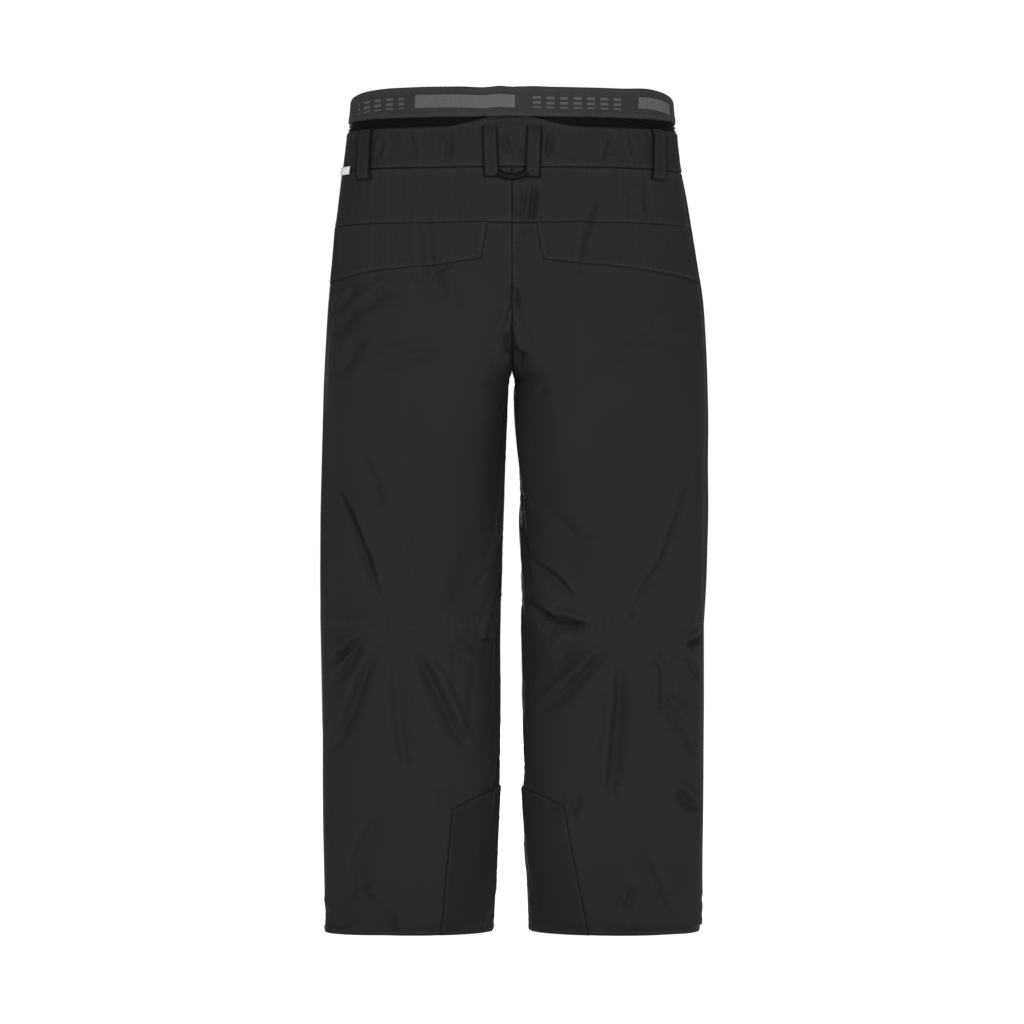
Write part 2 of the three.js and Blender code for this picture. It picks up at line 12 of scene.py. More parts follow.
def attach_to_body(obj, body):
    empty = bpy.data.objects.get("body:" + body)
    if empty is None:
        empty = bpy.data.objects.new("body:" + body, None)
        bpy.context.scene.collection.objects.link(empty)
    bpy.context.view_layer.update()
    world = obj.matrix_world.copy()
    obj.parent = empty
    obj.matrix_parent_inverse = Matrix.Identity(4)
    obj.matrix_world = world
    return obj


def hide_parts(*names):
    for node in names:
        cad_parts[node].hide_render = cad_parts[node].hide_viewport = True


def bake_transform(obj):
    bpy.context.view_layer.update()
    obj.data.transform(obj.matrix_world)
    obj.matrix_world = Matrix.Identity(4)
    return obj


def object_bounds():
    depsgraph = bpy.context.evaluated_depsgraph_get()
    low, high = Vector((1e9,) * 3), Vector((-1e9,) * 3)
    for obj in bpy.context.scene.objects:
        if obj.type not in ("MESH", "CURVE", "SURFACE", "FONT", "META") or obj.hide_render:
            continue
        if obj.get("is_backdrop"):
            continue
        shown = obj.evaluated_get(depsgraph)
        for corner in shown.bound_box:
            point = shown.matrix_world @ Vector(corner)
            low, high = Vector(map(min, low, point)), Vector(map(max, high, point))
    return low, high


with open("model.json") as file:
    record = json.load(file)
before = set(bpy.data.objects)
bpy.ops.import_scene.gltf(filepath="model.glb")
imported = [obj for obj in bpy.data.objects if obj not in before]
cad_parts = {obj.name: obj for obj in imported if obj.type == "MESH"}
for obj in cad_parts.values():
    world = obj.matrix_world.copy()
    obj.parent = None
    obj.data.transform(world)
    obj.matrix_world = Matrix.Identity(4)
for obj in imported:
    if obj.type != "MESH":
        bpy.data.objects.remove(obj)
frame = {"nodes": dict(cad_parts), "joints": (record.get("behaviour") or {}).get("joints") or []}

bl_info = {
    "name": "Ski Pants",
    "version": (1, 0, 0),
    "blender": (4, 5, 0),
    "location": "3D View > Sidebar > Ski Pants",
    "description": "Builds the cloth, zips and trims of a pair of ski pants over their jointed frame",
    "category": "Object",
}

CAD_BOX = [list(corner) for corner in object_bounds()]

# ---------------------------------------------------------------- sizes, in metres below the waist's top
# Outline of the cloth: drop, half width, half depth, and gap between the legs at the inseam.
STATIONS = np.array((
    (0.000, 0.2030, 0.0850, 0.0000),
    (0.101, 0.2150, 0.0970, 0.0000),
    (0.260, 0.2365, 0.1130, 0.0000),
    (0.352, 0.2408, 0.1053, 0.0000),
    (0.362, 0.2412, 0.1046, 0.0036),
    (0.400, 0.2422, 0.1016, 0.0055),
    (0.530, 0.2443, 0.0905, 0.0100),
    (0.665, 0.2430, 0.0795, 0.0140),
    (0.880, 0.2410, 0.0690, 0.0163),
    (1.060, 0.2375, 0.0650, 0.0240),
))
ROUNDNESS = 2.3  # superellipse power of the outlines
RISE_START, CROTCH = 0.200, 0.355
TURN_FALL = 0.22  # drop over which the trunk's outline turns into a leg's
ELASTIC_LOW, CASING_LOW, BAND_LOW, YOKE_LOW = 0.037, 0.050, 0.101, 0.170
KNEE, HEM = 0.665, 1.060
WRAP = 0.57  # how far round from the centre back the elastic runs; the side is at 0.5
SHELL, FOLDED = 0.0013, 0.0022  # cloth, and cloth folded over

# The cloth lies calm round each zip: share of the way round, and drops of its ends.
CALM = ((1.0, 0.100, 0.222), (0.661, 0.104, 0.258), (0.589, 0.450, 0.606))
CALM_REACH, CALM_FADE = 0.0125, 0.025
CALM_SINK = 0.0009  # how far the calm cloth lies under the rest

# Creases: points of each (wearer's left, drop) in mm, depth in mm and width in mm.
BACK_FOLDS = (
    (((232, 480), (204, 532), (180, 588), (163, 644)), 5.5, 6.5), (((198, 441), (178, 485), (163, 532)), 3, 13),
    (((235, 715), (211, 698), (187, 676)), 4.5, 6), (((230, 743), (204, 709), (183, 679)), 3.5, 5.5),
    (((234, 836), (211, 787), (191, 735), (165, 683)), 4, 8),
    (((150, 692), (146, 761), (137, 838), (122, 864)), 3, 11),
    (((128, 687), (100, 735), (74, 795), (46, 829)), 5.5, 8), (((109, 680), (79, 696), (44, 713)), 2.5, 8),
    (((93, 864), (85, 903)), 2, 5), (((161, 873), (178, 916), (196, 959), (191, 1002), (150, 1041)), 2.6, 10),
    (((150, 1028), (149, 1056)), 4, 6), (((14, 631), (27, 679), (14, 694)), 4, 6), (((11, 586), (44, 623)), 2, 10),
    (((16, 825), (14, 890)), 3, 6), (((37, 981), (18, 994)), 3, 5), (((232, 579), (226, 657)), 1.6, 12),
    (((109, 545), (122, 623)), 1.5, 14), (((66, 441), (61, 558)), 1.4, 20),
    (((-15, 636), (-51, 661), (-103, 667)), 6.5, 7), (((-23, 588), (-51, 605), (-82, 636)), 3.2, 6),
    (((-47, 523), (-77, 562), (-134, 558)), 2.6, 12), (((-11, 502), (-20, 529)), 3, 5),
    (((-13, 564), (-25, 579)), 3, 5), (((-140, 664), (-164, 618), (-186, 584), (-207, 523), (-227, 454)), 3.8, 8),
    (((-139, 667), (-149, 644)), 2.4, 3.5), (((-127, 684), (-95, 717), (-60, 752), (-32, 783)), 4.6, 8),
    (((-130, 696), (-132, 761), (-125, 825), (-122, 864), (-135, 907)), 4, 9),
    (((-164, 674), (-186, 713), (-188, 761), (-216, 795), (-225, 830)), 3, 9), (((-214, 692), (-242, 678)), 5.5, 6),
    (((-216, 694), (-236, 737)), 2.6, 5), (((-218, 804), (-225, 832)), 4, 6),
    (((-202, 864), (-220, 886), (-240, 901)), 4.5, 7), (((-155, 937), (-173, 981), (-199, 1045)), 2.6, 13),
    (((-151, 989), (-138, 1032)), 3, 6), (((-151, 1037), (-159, 1055)), 3, 5),
    (((-82, 873), (-75, 903), (-85, 918)), 2.6, 6), (((-82, 675), (-51, 713), (-22, 720)), 2.2, 10),
    (((-17, 756), (-22, 692)), 1.6, 10), (((163, 62), (169, 89)), 1.8, 5), (((129, 51), (119, 93)), 2.2, 8),
    (((77, 57), (82, 97)), 2.2, 5), (((96, 81), (100, 94)), 1.6, 4), (((12, 55), (0, 89)), 3.2, 6),
    (((-12, 70), (-13, 94)), 2, 4.5), (((-48, 54), (-43, 93)), 3.2, 5), (((-71, 80), (-82, 97)), 2, 5),
    (((-129, 55), (-117, 85), (-125, 94)), 2.2, 6), (((-52, 85), (-60, 97)), 1.8, 4),
    (((-147, 57), (-152, 89)), 1.4, 6), (((152, 70), (158, 93)), 1.4, 5), (((-2, 122), (-3, 169)), 1.6, 3.5),
    (((-13, 120), (-12, 174)), 2, 4), (((-28, 120), (-21, 174)), 4.2, 4.2), (((-25, 170), (-11, 184)), 3.4, 5),
    (((-114, 135), (-102, 174), (-82, 230)), 4, 13), (((-86, 224), (-78, 235)), 4, 6),
    (((109, 144), (109, 186), (100, 232), (70, 290)), 2.8, 15), (((-169, 110), (-167, 162)), 2, 7),
    (((-143, 122), (-144, 144)), 1.4, 8), (((227, 284), (210, 261), (200, 238)), 3.4, 8),
    (((230, 316), (204, 277), (165, 254), (130, 263)), 2.8, 8), (((221, 361), (197, 316), (174, 303)), 3.2, 9),
    (((178, 358), (155, 335), (109, 329), (74, 332)), 2.2, 8),
    (((-86, 358), (-118, 335), (-167, 309), (-191, 277)), 2.2, 10), (((-144, 342), (-183, 329), (-222, 303)), 2, 9),
    (((39, 364), (13, 369)), 4, 10), (((-22, 382), (-42, 371)), 4.5, 10), (((1, 243), (0, 285)), 2.6, 3.5),
    (((-4, 243), (-3, 285)), 2, 3.5), (((10, 297), (-3, 329), (-5, 353)), 4, 7), (((41, 219), (28, 203)), 3, 6),
    (((77, 242), (70, 284)), 1.4, 5), (((200, 174), (204, 212)), 1.4, 8), (((104, 161), (109, 170)), 2.4, 6),
)
FRONT_FOLDS = (
    (((30, 345), (80, 300), (128, 270)), 3.5, 10), (((-30, 345), (-76, 306), (-120, 284)), 3.5, 10),
    (((36, 372), (84, 352), (130, 348)), 2.5, 12), (((-34, 376), (-90, 350), (-140, 340)), 2.5, 12),
    (((60, 420), (96, 520), (110, 600)), 2, 18), (((-66, 430), (-90, 520), (-116, 590)), 2, 18),
    (((40, 640), (90, 662), (150, 655)), 4, 9), (((-36, 652), (-84, 668), (-140, 650)), 4, 9),
    (((196, 600), (160, 640), (120, 652)), 3.5, 9), (((-200, 612), (-168, 650), (-130, 664)), 3.5, 9),
    (((60, 690), (110, 740), (134, 800)), 3.5, 10), (((-58, 700), (-100, 742), (-150, 770)), 3.5, 10),
    (((180, 700), (150, 750), (140, 830)), 3, 12), (((-190, 690), (-176, 760), (-150, 830)), 3, 12),
    (((70, 900), (110, 950), (120, 1030)), 2.5, 14), (((-90, 880), (-130, 940), (-126, 1020)), 2.5, 14),
    (((150, 1000), (146, 1058)), 3, 9), (((-110, 1010), (-112, 1058)), 3, 9),
)


# ---------------------------------------------------------------- the shape of the cloth
def ease(value):
    """Smooth step from 0 to 1."""
    value = np.clip(value, 0, 1)
    return value * value * (3 - 2 * value)


def mix(a, b, share):
    """The value a share of the way from a to b."""
    return a + (b - a) * share


def power(value):
    """Bends a circle's coordinate into the superellipse's."""
    return np.sign(value) * np.abs(value) ** (2 / ROUNDNESS)


TABLE = np.arange(-0.1, 1.2, 0.001)


def softened(column, width=18):
    """A column of the stations as a table by the millimetre, its corners rounded off."""
    kernel = np.exp(-0.5 * (np.arange(-3 * width, 3 * width + 1) / width) ** 2)
    values = np.interp(TABLE, STATIONS[:, 0], STATIONS[:, column])
    return np.convolve(np.pad(values, 3 * width, mode="edge"), kernel / kernel.sum(), mode="valid")


HALF, DEPTH = softened(1), softened(2)


def smooth_place(around, drop):
    """Points of the left side's uncreased cloth: around is 0 at the centre back, 0.5 at the side, 1 at the front."""
    half, depth = np.interp(drop, TABLE, HALF), np.interp(drop, TABLE, DEPTH)
    angle = np.pi * (1 - 2 * around)
    wide = (1 + power(np.cos(angle))) / 2
    curved = 1 - np.sqrt(1 - np.clip((drop - RISE_START) / (CROTCH - RISE_START), 0, 1) ** 2)
    turned = mix(ease((drop - RISE_START) / TURN_FALL), curved, np.exp(-((wide / 0.12) ** 2)))
    inner = np.interp(drop, STATIONS[:, 0], STATIONS[:, 3])
    trunk = (1 - np.clip(wide, 0, 1) ** ROUNDNESS) ** (1 / ROUNDNESS)
    face = np.where(around > 0.5, -1.0, 1.0)
    y = face * depth * mix(trunk, np.abs(power(np.sin(angle))), turned)
    return np.stack((mix(inner, half, wide), y, -drop), -1)


def mirrored_place(around, drop):
    """As smooth_place, going on past the centre back: to the right side above the crotch, round the leg below."""
    on_leg = drop > CROTCH
    wrapped = np.where(on_leg, np.mod(around, 1.0), np.abs(around))
    wrapped = np.where(on_leg & (around == 1.0), 1.0, wrapped)
    point = smooth_place(np.clip(wrapped, 0, 1), drop)
    point[..., 0] *= np.where(~on_leg & (around < 0), -1.0, 1.0)
    return point


def outward(around, drop):
    """Outward normals of the uncreased cloth."""
    sign = np.where((around < 0) & (drop <= CROTCH), -1.0, 1.0)
    inside = np.where(drop > CROTCH, np.mod(around, 1.0), np.abs(around))
    inside = np.clip(np.where((drop > CROTCH) & (around == 1.0), 1.0, inside), 0.026, 0.974)
    step = smooth_place(inside + 0.02, drop) - smooth_place(inside - 0.02, drop)
    fall = smooth_place(inside, drop + 0.004) - smooth_place(inside, drop - 0.004)
    normal = np.cross(step, fall)
    normal[..., 0] *= sign
    return normal / np.linalg.norm(normal, axis=-1, keepdims=True)


def around_at(x, drop):
    """How far round the back is the cloth at x metres from the centre."""
    shares = np.linspace(0, 0.5, 400)
    across = smooth_place(shares, np.full(400, float(drop)))[:, 0]
    return np.interp(x, across, shares)


def even_columns(start, end, drop, count):
    """Shares of the way round, evenly spaced along the cloth at one drop."""
    shares = np.linspace(start, end, 1200)
    points = mirrored_place(shares, np.full(1200, float(drop)))
    run = np.concatenate(([0], np.cumsum(np.linalg.norm(np.diff(points, axis=0), axis=1))))
    return np.interp(np.linspace(0, run[-1], count), run, shares)


def rumple(across, down, cell, seed):
    """Smooth seeded noise from -1 to 1, with bumps as large as cell = (across, down)."""
    grid = np.random.default_rng(seed).uniform(-1, 1, (64, 64))
    u, v = across / cell[0] + 31.3, down / cell[1] + 31.7
    i, j = np.floor(u).astype(int), np.floor(v).astype(int)
    f, g = ease(u - i), ease(v - j)
    corner = lambda a, b: grid[(i + a) % 64, (j + b) % 64]
    return mix(mix(corner(0, 0), corner(1, 0), f), mix(corner(0, 1), corner(1, 1), f), g)


TAPER = 0.34  # share of a crease's length over which each end fades


def creases(x, drop, folds):
    """Height of the listed creases at points x, drop: valleys, steep on the upper side and long on the lower."""
    height = np.zeros_like(x)
    for path, depth, width in folds:
        path, depth, width = np.array(path) * 0.001, depth * 0.001, width * 0.001
        low, high = path.min(0) - 4 * width, path.max(0) + 4 * width
        near = (x > low[0]) & (x < high[0]) & (drop > low[1]) & (drop < high[1])
        if not near.any():
            continue
        points = np.stack((x[near], drop[near]), -1)
        best = np.full(len(points), 9.0)
        side, along = np.zeros(len(points)), np.zeros(len(points))
        lengths = np.linalg.norm(np.diff(path, axis=0), axis=1)
        for i, length in enumerate(lengths):
            way = (path[i + 1] - path[i]) / length
            reach = points - path[i]
            spot = np.clip(reach @ way, 0, length)
            off = reach - spot[:, None] * way
            distance = np.linalg.norm(off, axis=1)
            closer = distance < best
            best = np.where(closer, distance, best)
            above = np.array((way[1], -way[0]))
            above *= -1 if above[1] > 0.2 or (abs(above[1]) <= 0.2 and above[0] < 0) else 1
            turn = np.sign(reach @ above)
            side = np.where(closer, turn, side)
            along = np.where(closer, (lengths[:i].sum() + spot) / lengths.sum(), along)
        ends = ease(along / TAPER) * ease((1 - along) / TAPER)
        slender = lengths.sum() / width
        s = best * side / (width * min(1.0, 0.28 + 0.08 * slender) * (0.55 + 0.45 * ends))
        valley = np.exp(-(np.where(s > 0, s * 1.9, s * 0.72) ** 2))
        profile = 0.42 * np.exp(-((s - 1.25) ** 2) / 0.5) + 0.12 * np.exp(-((s + 2.6) ** 2) / 2.0) - valley
        height[near] += 1.8 * depth * min(1.0, slender / 9) * profile * ends
    return height


GATHER_PITCH, GATHER_DEEP, GATHER_MIDDLE = 0.0048, 0.0013, 0.0435  # the folds under the elastic


def relief(around, drop, point, normal, side):
    """Height of every crease, gather and rumple of the cloth over its smooth shape."""
    cloth = bpy.context.scene.ski_pants_cloth
    x = point[..., 0] * side
    back = normal[..., 1] > 0
    facing = ease(np.abs(normal[..., 1]) * 1.5)
    folds = np.where(back, creases(x, drop, BACK_FOLDS), creases(x, drop, FRONT_FOLDS)) * facing
    soft = [0.0042 * rumple(x + away, drop, (0.060, 0.15), 11) + 0.0010 * rumple(x + away, drop, (0.024, 0.05), 12)
            for away in (3.0, 0.0)]
    soft = mix(soft[0], soft[1], ease(0.5 + normal[..., 1] * 1.1))
    soft = soft * ease((drop - 0.05) / 0.12) * (0.25 + 0.75 * facing)
    gathered = np.where(np.abs(around) < WRAP + 0.001, 1.0, 0.0)
    fan = drop - 0.20 * np.abs(x) + 0.0016 * rumple(x, drop, (0.05, 0.02), 21)
    fold = np.sin(2 * np.pi * fan / GATHER_PITCH) * GATHER_DEEP * np.exp(-(((drop - GATHER_MIDDLE) / 0.0065) ** 4))
    ridge = np.sin(2 * np.pi * (x / 0.014 + 0.9 * rumple(x, drop, (0.03, 0.03), 22)))
    strip = 0.0006 * ease((0.112 - drop) / 0.055) * ease((drop - 0.044) / 0.01)
    strip = strip * (0.5 + 0.5 * rumple(x, drop, (0.025, 0.06), 23))
    calm = np.ones_like(x)
    for share, top, low in CALM:
        middle = smooth_place(np.full_like(drop, share), drop)
        away = np.linalg.norm(point - middle, axis=-1)
        beyond = np.maximum(0, np.maximum(top - drop, drop - low))
        calm = calm * ease((np.hypot(away, beyond) - CALM_REACH) / CALM_FADE)
    return cloth.crease_depth * (folds + soft) * calm + cloth.gather_depth * (fold + ridge * strip) * gathered, calm


class Settled:
    """How far the simulated cloth moved from its first shape, on a grid round each side."""

    columns = even_columns(0.0, 1.0, 0.45, 96)
    drops = np.linspace(BAND_LOW, HEM, 150)
    moves = {1: None, -1: None}

    @classmethod
    def at(cls, around, drop, side):
        """The move at a place, or none above the waistband's lower seam."""
        move = cls.moves[side]
        if move is None:
            return np.zeros(np.shape(around) + (3,))
        wrapped = np.where(drop > CROTCH, np.mod(around, 1.0), np.abs(around))
        wrapped = np.where(around == 1.0, 1.0, wrapped)
        u = np.interp(wrapped, cls.columns, np.arange(len(cls.columns)))
        v = np.interp(drop, cls.drops, np.arange(len(cls.drops)))
        i, j = np.minimum(u.astype(int), len(cls.columns) - 2), np.minimum(v.astype(int), len(cls.drops) - 2)
        f, g = (u - i)[..., None], (v - j)[..., None]
        return mix(mix(move[i, j], move[i + 1, j], f), mix(move[i, j + 1], move[i + 1, j + 1], f), g)


def cloth_place(around, drop, side, lift=0.0):
    """Points of the creased cloth on one side (1 is the wearer's left), lift metres outside its face."""
    point, normal = mirrored_place(around, drop), outward(around, drop)
    height, calm = relief(around, drop, point, normal, side)
    lift = np.asarray(lift) - CALM_SINK * (1 - calm)
    shift = normal * (height + lift)[..., None] + Settled.at(around, drop, side) * calm[..., None]
    shift[..., 0] *= np.where(drop <= CROTCH, ease(np.abs(point[..., 0]) / 0.008), 1.0)
    place = point + shift
    joined = (drop <= CROTCH - 0.003) & ((around == 0) | (around == 1)) & (np.min(around) >= 0)
    place[..., 0] = np.where(joined, -0.0003, np.where(around < 0, place[..., 0], np.maximum(place[..., 0], -0.0003)))
    place[..., 0] *= side
    return place


# ---------------------------------------------------------------- making pieces
def new_object(name, mesh):
    """A mesh object of the scene."""
    piece = bpy.data.objects.new(name, mesh)
    bpy.context.scene.collection.objects.link(piece)
    return piece


def grid_mesh(name, places, flat, sewn=(), flip=False, faint=()):
    """A sheet whose grid of vertices is laid on places; flat holds each one's place in the cut cloth.

    sewn names the stitched edges (top, low, start, end) that the Seam distance is measured from.
    """
    wide, tall = places.shape[:2]
    bm = bmesh.new()
    bmesh.ops.create_grid(bm, x_segments=wide - 1, y_segments=tall - 1, size=1)
    if flip:
        bmesh.ops.reverse_faces(bm, faces=bm.faces)
    mesh = bpy.data.meshes.new(name)
    bm.to_mesh(mesh)
    bm.free()
    j, i = np.divmod(np.arange(wide * tall), wide)
    mesh.vertices.foreach_set("co", places[i, j].astype(np.float32).ravel())
    spots = flat[i, j]
    edges = {"top": spots[:, 1] - flat[i, 0, 1], "low": flat[i, -1, 1] - spots[:, 1],
             "start": np.abs(spots[:, 0] - flat[0, j, 0]), "end": np.abs(flat[-1, j, 0] - spots[:, 0])}
    seam, run, sure = np.full(len(i), 9.0), np.zeros(len(i)), np.ones(len(i))
    for edge in sewn:
        away = edges[edge] + (FAINT if edge in faint else 0)
        closer = away < seam
        clear = ease((np.abs(seam - away) - 0.001) / 0.004) * np.where(closer, 1.0, sure)
        sure = np.where(np.minimum(seam, away) < 0.03, clear, sure)
        seam = np.where(closer, away, seam)
        run = np.where(closer, spots[:, 0] if edge in ("top", "low") else spots[:, 1], run)
    for label, values in (("Seam", seam), ("Run", run), ("Sure", sure)):
        mesh.attributes.new(label, "FLOAT", "POINT").data.foreach_set("value", values.astype(np.float32))
    loops = np.empty(len(mesh.loops), np.int32)
    mesh.loops.foreach_get("vertex_index", loops)
    uv = mesh.uv_layers.new(name="Cloth")
    uv.data.foreach_set("uv", spots[loops].astype(np.float32).ravel())
    mesh.polygons.foreach_set("use_smooth", np.ones(len(mesh.polygons), bool))
    mesh.update()
    return mesh


def flat_spots(places):
    """Where each vertex lies in the cut cloth: metres across and metres down."""
    across = np.linalg.norm(np.diff(places, axis=0), axis=2)
    across = np.concatenate((np.zeros((1, places.shape[1])), np.cumsum(across, 0)), 0)
    across -= across.mean(0, keepdims=True)
    down = np.linalg.norm(np.diff(places, axis=1), axis=2)
    down = np.concatenate((np.zeros((places.shape[0], 1)), np.cumsum(down, 1)), 1)
    return np.stack((across, down), -1)


def thicken(piece, thickness, lining=None):
    """Gives a sheet its thickness, inwards."""
    wall = piece.modifiers.new("Thickness", "SOLIDIFY")
    wall.thickness = thickness
    wall.offset = -1
    wall.use_even_offset = False
    if lining:
        piece.data.materials.append(lining)
        wall.material_offset = 1


def spaced(start, end, pitch, close=(0.0008, 0.0016, 0.0026, 0.004)):
    """Distances from start to end about a pitch apart, closer together by both ends."""
    count = max(2, int(round((end - start) / pitch)) + 1)
    inner = [start + c for c in close] + [end - c for c in close]
    values = np.unique(np.round(np.concatenate((np.linspace(start, end, count), inner)), 6))
    keep = np.concatenate(([True], np.diff(values) > 0.0004))
    keep[-2:] = [False, True]
    return values[keep]


FAINT = 0.0045  # how much further off a hardly showing seam counts as being
FLAT_SHIFT = 1.7  # keeps the left and the right cuts apart in their texture's plane


def seam_roll(seam, depth=0.0009):
    """The groove along a sewn edge and the puffed cloth beside it."""
    return -depth * np.exp(-((seam / 0.0013) ** 2)) + 0.5 * depth * np.exp(-(((seam - 0.0045) / 0.003) ** 2))


def attach(piece, nodes, body="hips", blend=None):
    """Rides a piece on its body, or, given a blend, bakes its transform and leaves it on no body; it hides the
    frame's nodes either way.
    """
    if blend:
        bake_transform(piece)
    else:
        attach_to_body(piece, body)
    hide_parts(*nodes)


def cloth_piece(name, side, around, top, low, looks, nodes, *, lift=0.0, thickness=SHELL, pitch=0.003,
                sewn=(), faint=(), body="hips", blend=None, lining=None,
                lean=None, reference=None, roll=0.0009):
    """One cut of cloth laid on the form, from column around[0] to around[1] and from top to low.

    sewn names the edges with a rolled seam and stitching, and faint those of them that hardly show.

    top and low are drops, or functions of the column; lift is a height, or a function of (column, row) shares.
    """
    top_at = top if callable(top) else (lambda a: np.full(np.shape(a), float(top)))
    low_at = low if callable(low) else (lambda a: np.full(np.shape(a), float(low)))
    middle = float(np.mean(top_at(np.array(around)) + low_at(np.array(around))) / 2)
    reference = middle if reference is None else reference
    line = mirrored_place(np.linspace(*around, 300), np.full(300, reference))
    width = float(np.linalg.norm(np.diff(line, axis=0), axis=1).sum())
    steps = spaced(0, width, pitch)
    fine = even_columns(*around, reference, 2000)
    columns = np.interp(steps / width, np.linspace(0, 1, 2000), fine)
    tall = float(np.max(low_at(columns) - top_at(columns)))
    rows = spaced(0, tall, pitch) / tall
    share, row = np.meshgrid(steps / width, rows, indexing="ij")
    at = np.repeat(columns[:, None], len(rows), 1)
    if lean:
        at = lean(at, row)
    drop = mix(top_at(at), low_at(at), row)
    flat = flat_spots(mirrored_place(at, drop))
    distances = {"top": flat[:, :, 1] - flat[:, :1, 1], "low": flat[:, -1:, 1] - flat[:, :, 1],
                 "start": flat[:, :, 0] - flat[:1, :, 0], "end": flat[-1:, :, 0] - flat[:, :, 0]}
    seam = np.full(at.shape, 9.0)
    for edge in sewn:
        seam = np.minimum(seam, distances[edge] + (FAINT if edge in faint else 0))
    raised = lift(share, row) if callable(lift) else lift
    places = cloth_place(at, drop, side, raised + seam_roll(seam, roll))
    flat[:, :, 0] += side * FLAT_SHIFT
    mesh = grid_mesh(name, places, flat, sewn, flip=side < 0, faint=faint)
    piece = new_object(name, mesh)
    mesh.materials.append(looks)
    thicken(piece, thickness, lining)
    attach(piece, nodes, body, blend)
    return piece


def sided(names, suffix):
    """Names of the nodes on one side."""
    return [f"{name}_{suffix}" for name in names]


SIDES = ((1, "left"), (-1, "right"))


def hip_bend(side, suffix):
    """The zone in which trunk cloth turns into thigh cloth, level with the crotch at the centre seam."""
    return ("hips", f"thigh_{suffix}", (0, 0, -0.355), (0.080 * side, 0, -0.488))


def knee_bend(side, suffix):
    """The zone just below the knee seam between the thigh and the shin; attach reads it only to bake the piece's
    transform.
    """
    return (f"thigh_{suffix}", f"shin_{suffix}", (0, 0, -0.668), (0, 0, -0.800))


# ---------------------------------------------------------------- materials
def linear(colour):
    """An sRGB hex colour as linear red, green, blue and alpha."""
    parts = [int(colour[i:i + 2], 16) / 255 for i in (0, 2, 4)]
    return tuple(c / 12.92 if c <= 0.04045 else ((c + 0.055) / 1.055) ** 2.4 for c in parts) + (1.0,)


def add_node(tree, kind, inputs=None, **settings):
    """Adds a shader node; each input is a value, an output of another node, or a node whose first output it takes."""
    made = tree.nodes.new("ShaderNode" + kind)
    for key, value in settings.items():
        setattr(made, key, value)
    for key, value in (inputs or {}).items():
        if isinstance(value, bpy.types.Node):
            value = value.outputs[0]
        if isinstance(value, bpy.types.NodeSocket):
            tree.links.new(value, made.inputs[key])
        else:
            made.inputs[key].default_value = value
    return made


def new_material(name):
    """An empty node material and its surface shader."""
    material = bpy.data.materials.new(name)
    material.use_nodes = True
    tree = material.node_tree
    return material, tree, tree.nodes["Principled BSDF"]


def band(tree, value, centre, half, soft):
    """1 within half of centre, falling to 0 over soft."""
    off = add_node(tree, "Math", {
        0: add_node(tree, "Math", {0: value, 1: centre}, operation="SUBTRACT"),
    }, operation="ABSOLUTE")
    return add_node(tree, "MapRange", {
        "Value": off, "From Min": half, "From Max": half + soft, "To Min": 1.0, "To Max": 0.0,
    }, clamp=True).outputs[0]


STITCH, PUCKER = 0.0036, 0.009  # length of a stitch and of a pucker beside it
STITCH_ROWS = (0.0022, 0.0085)  # distance of each row of stitches from its seam
ROW_HALF, ROW_FADE = 0.00025, 0.0004


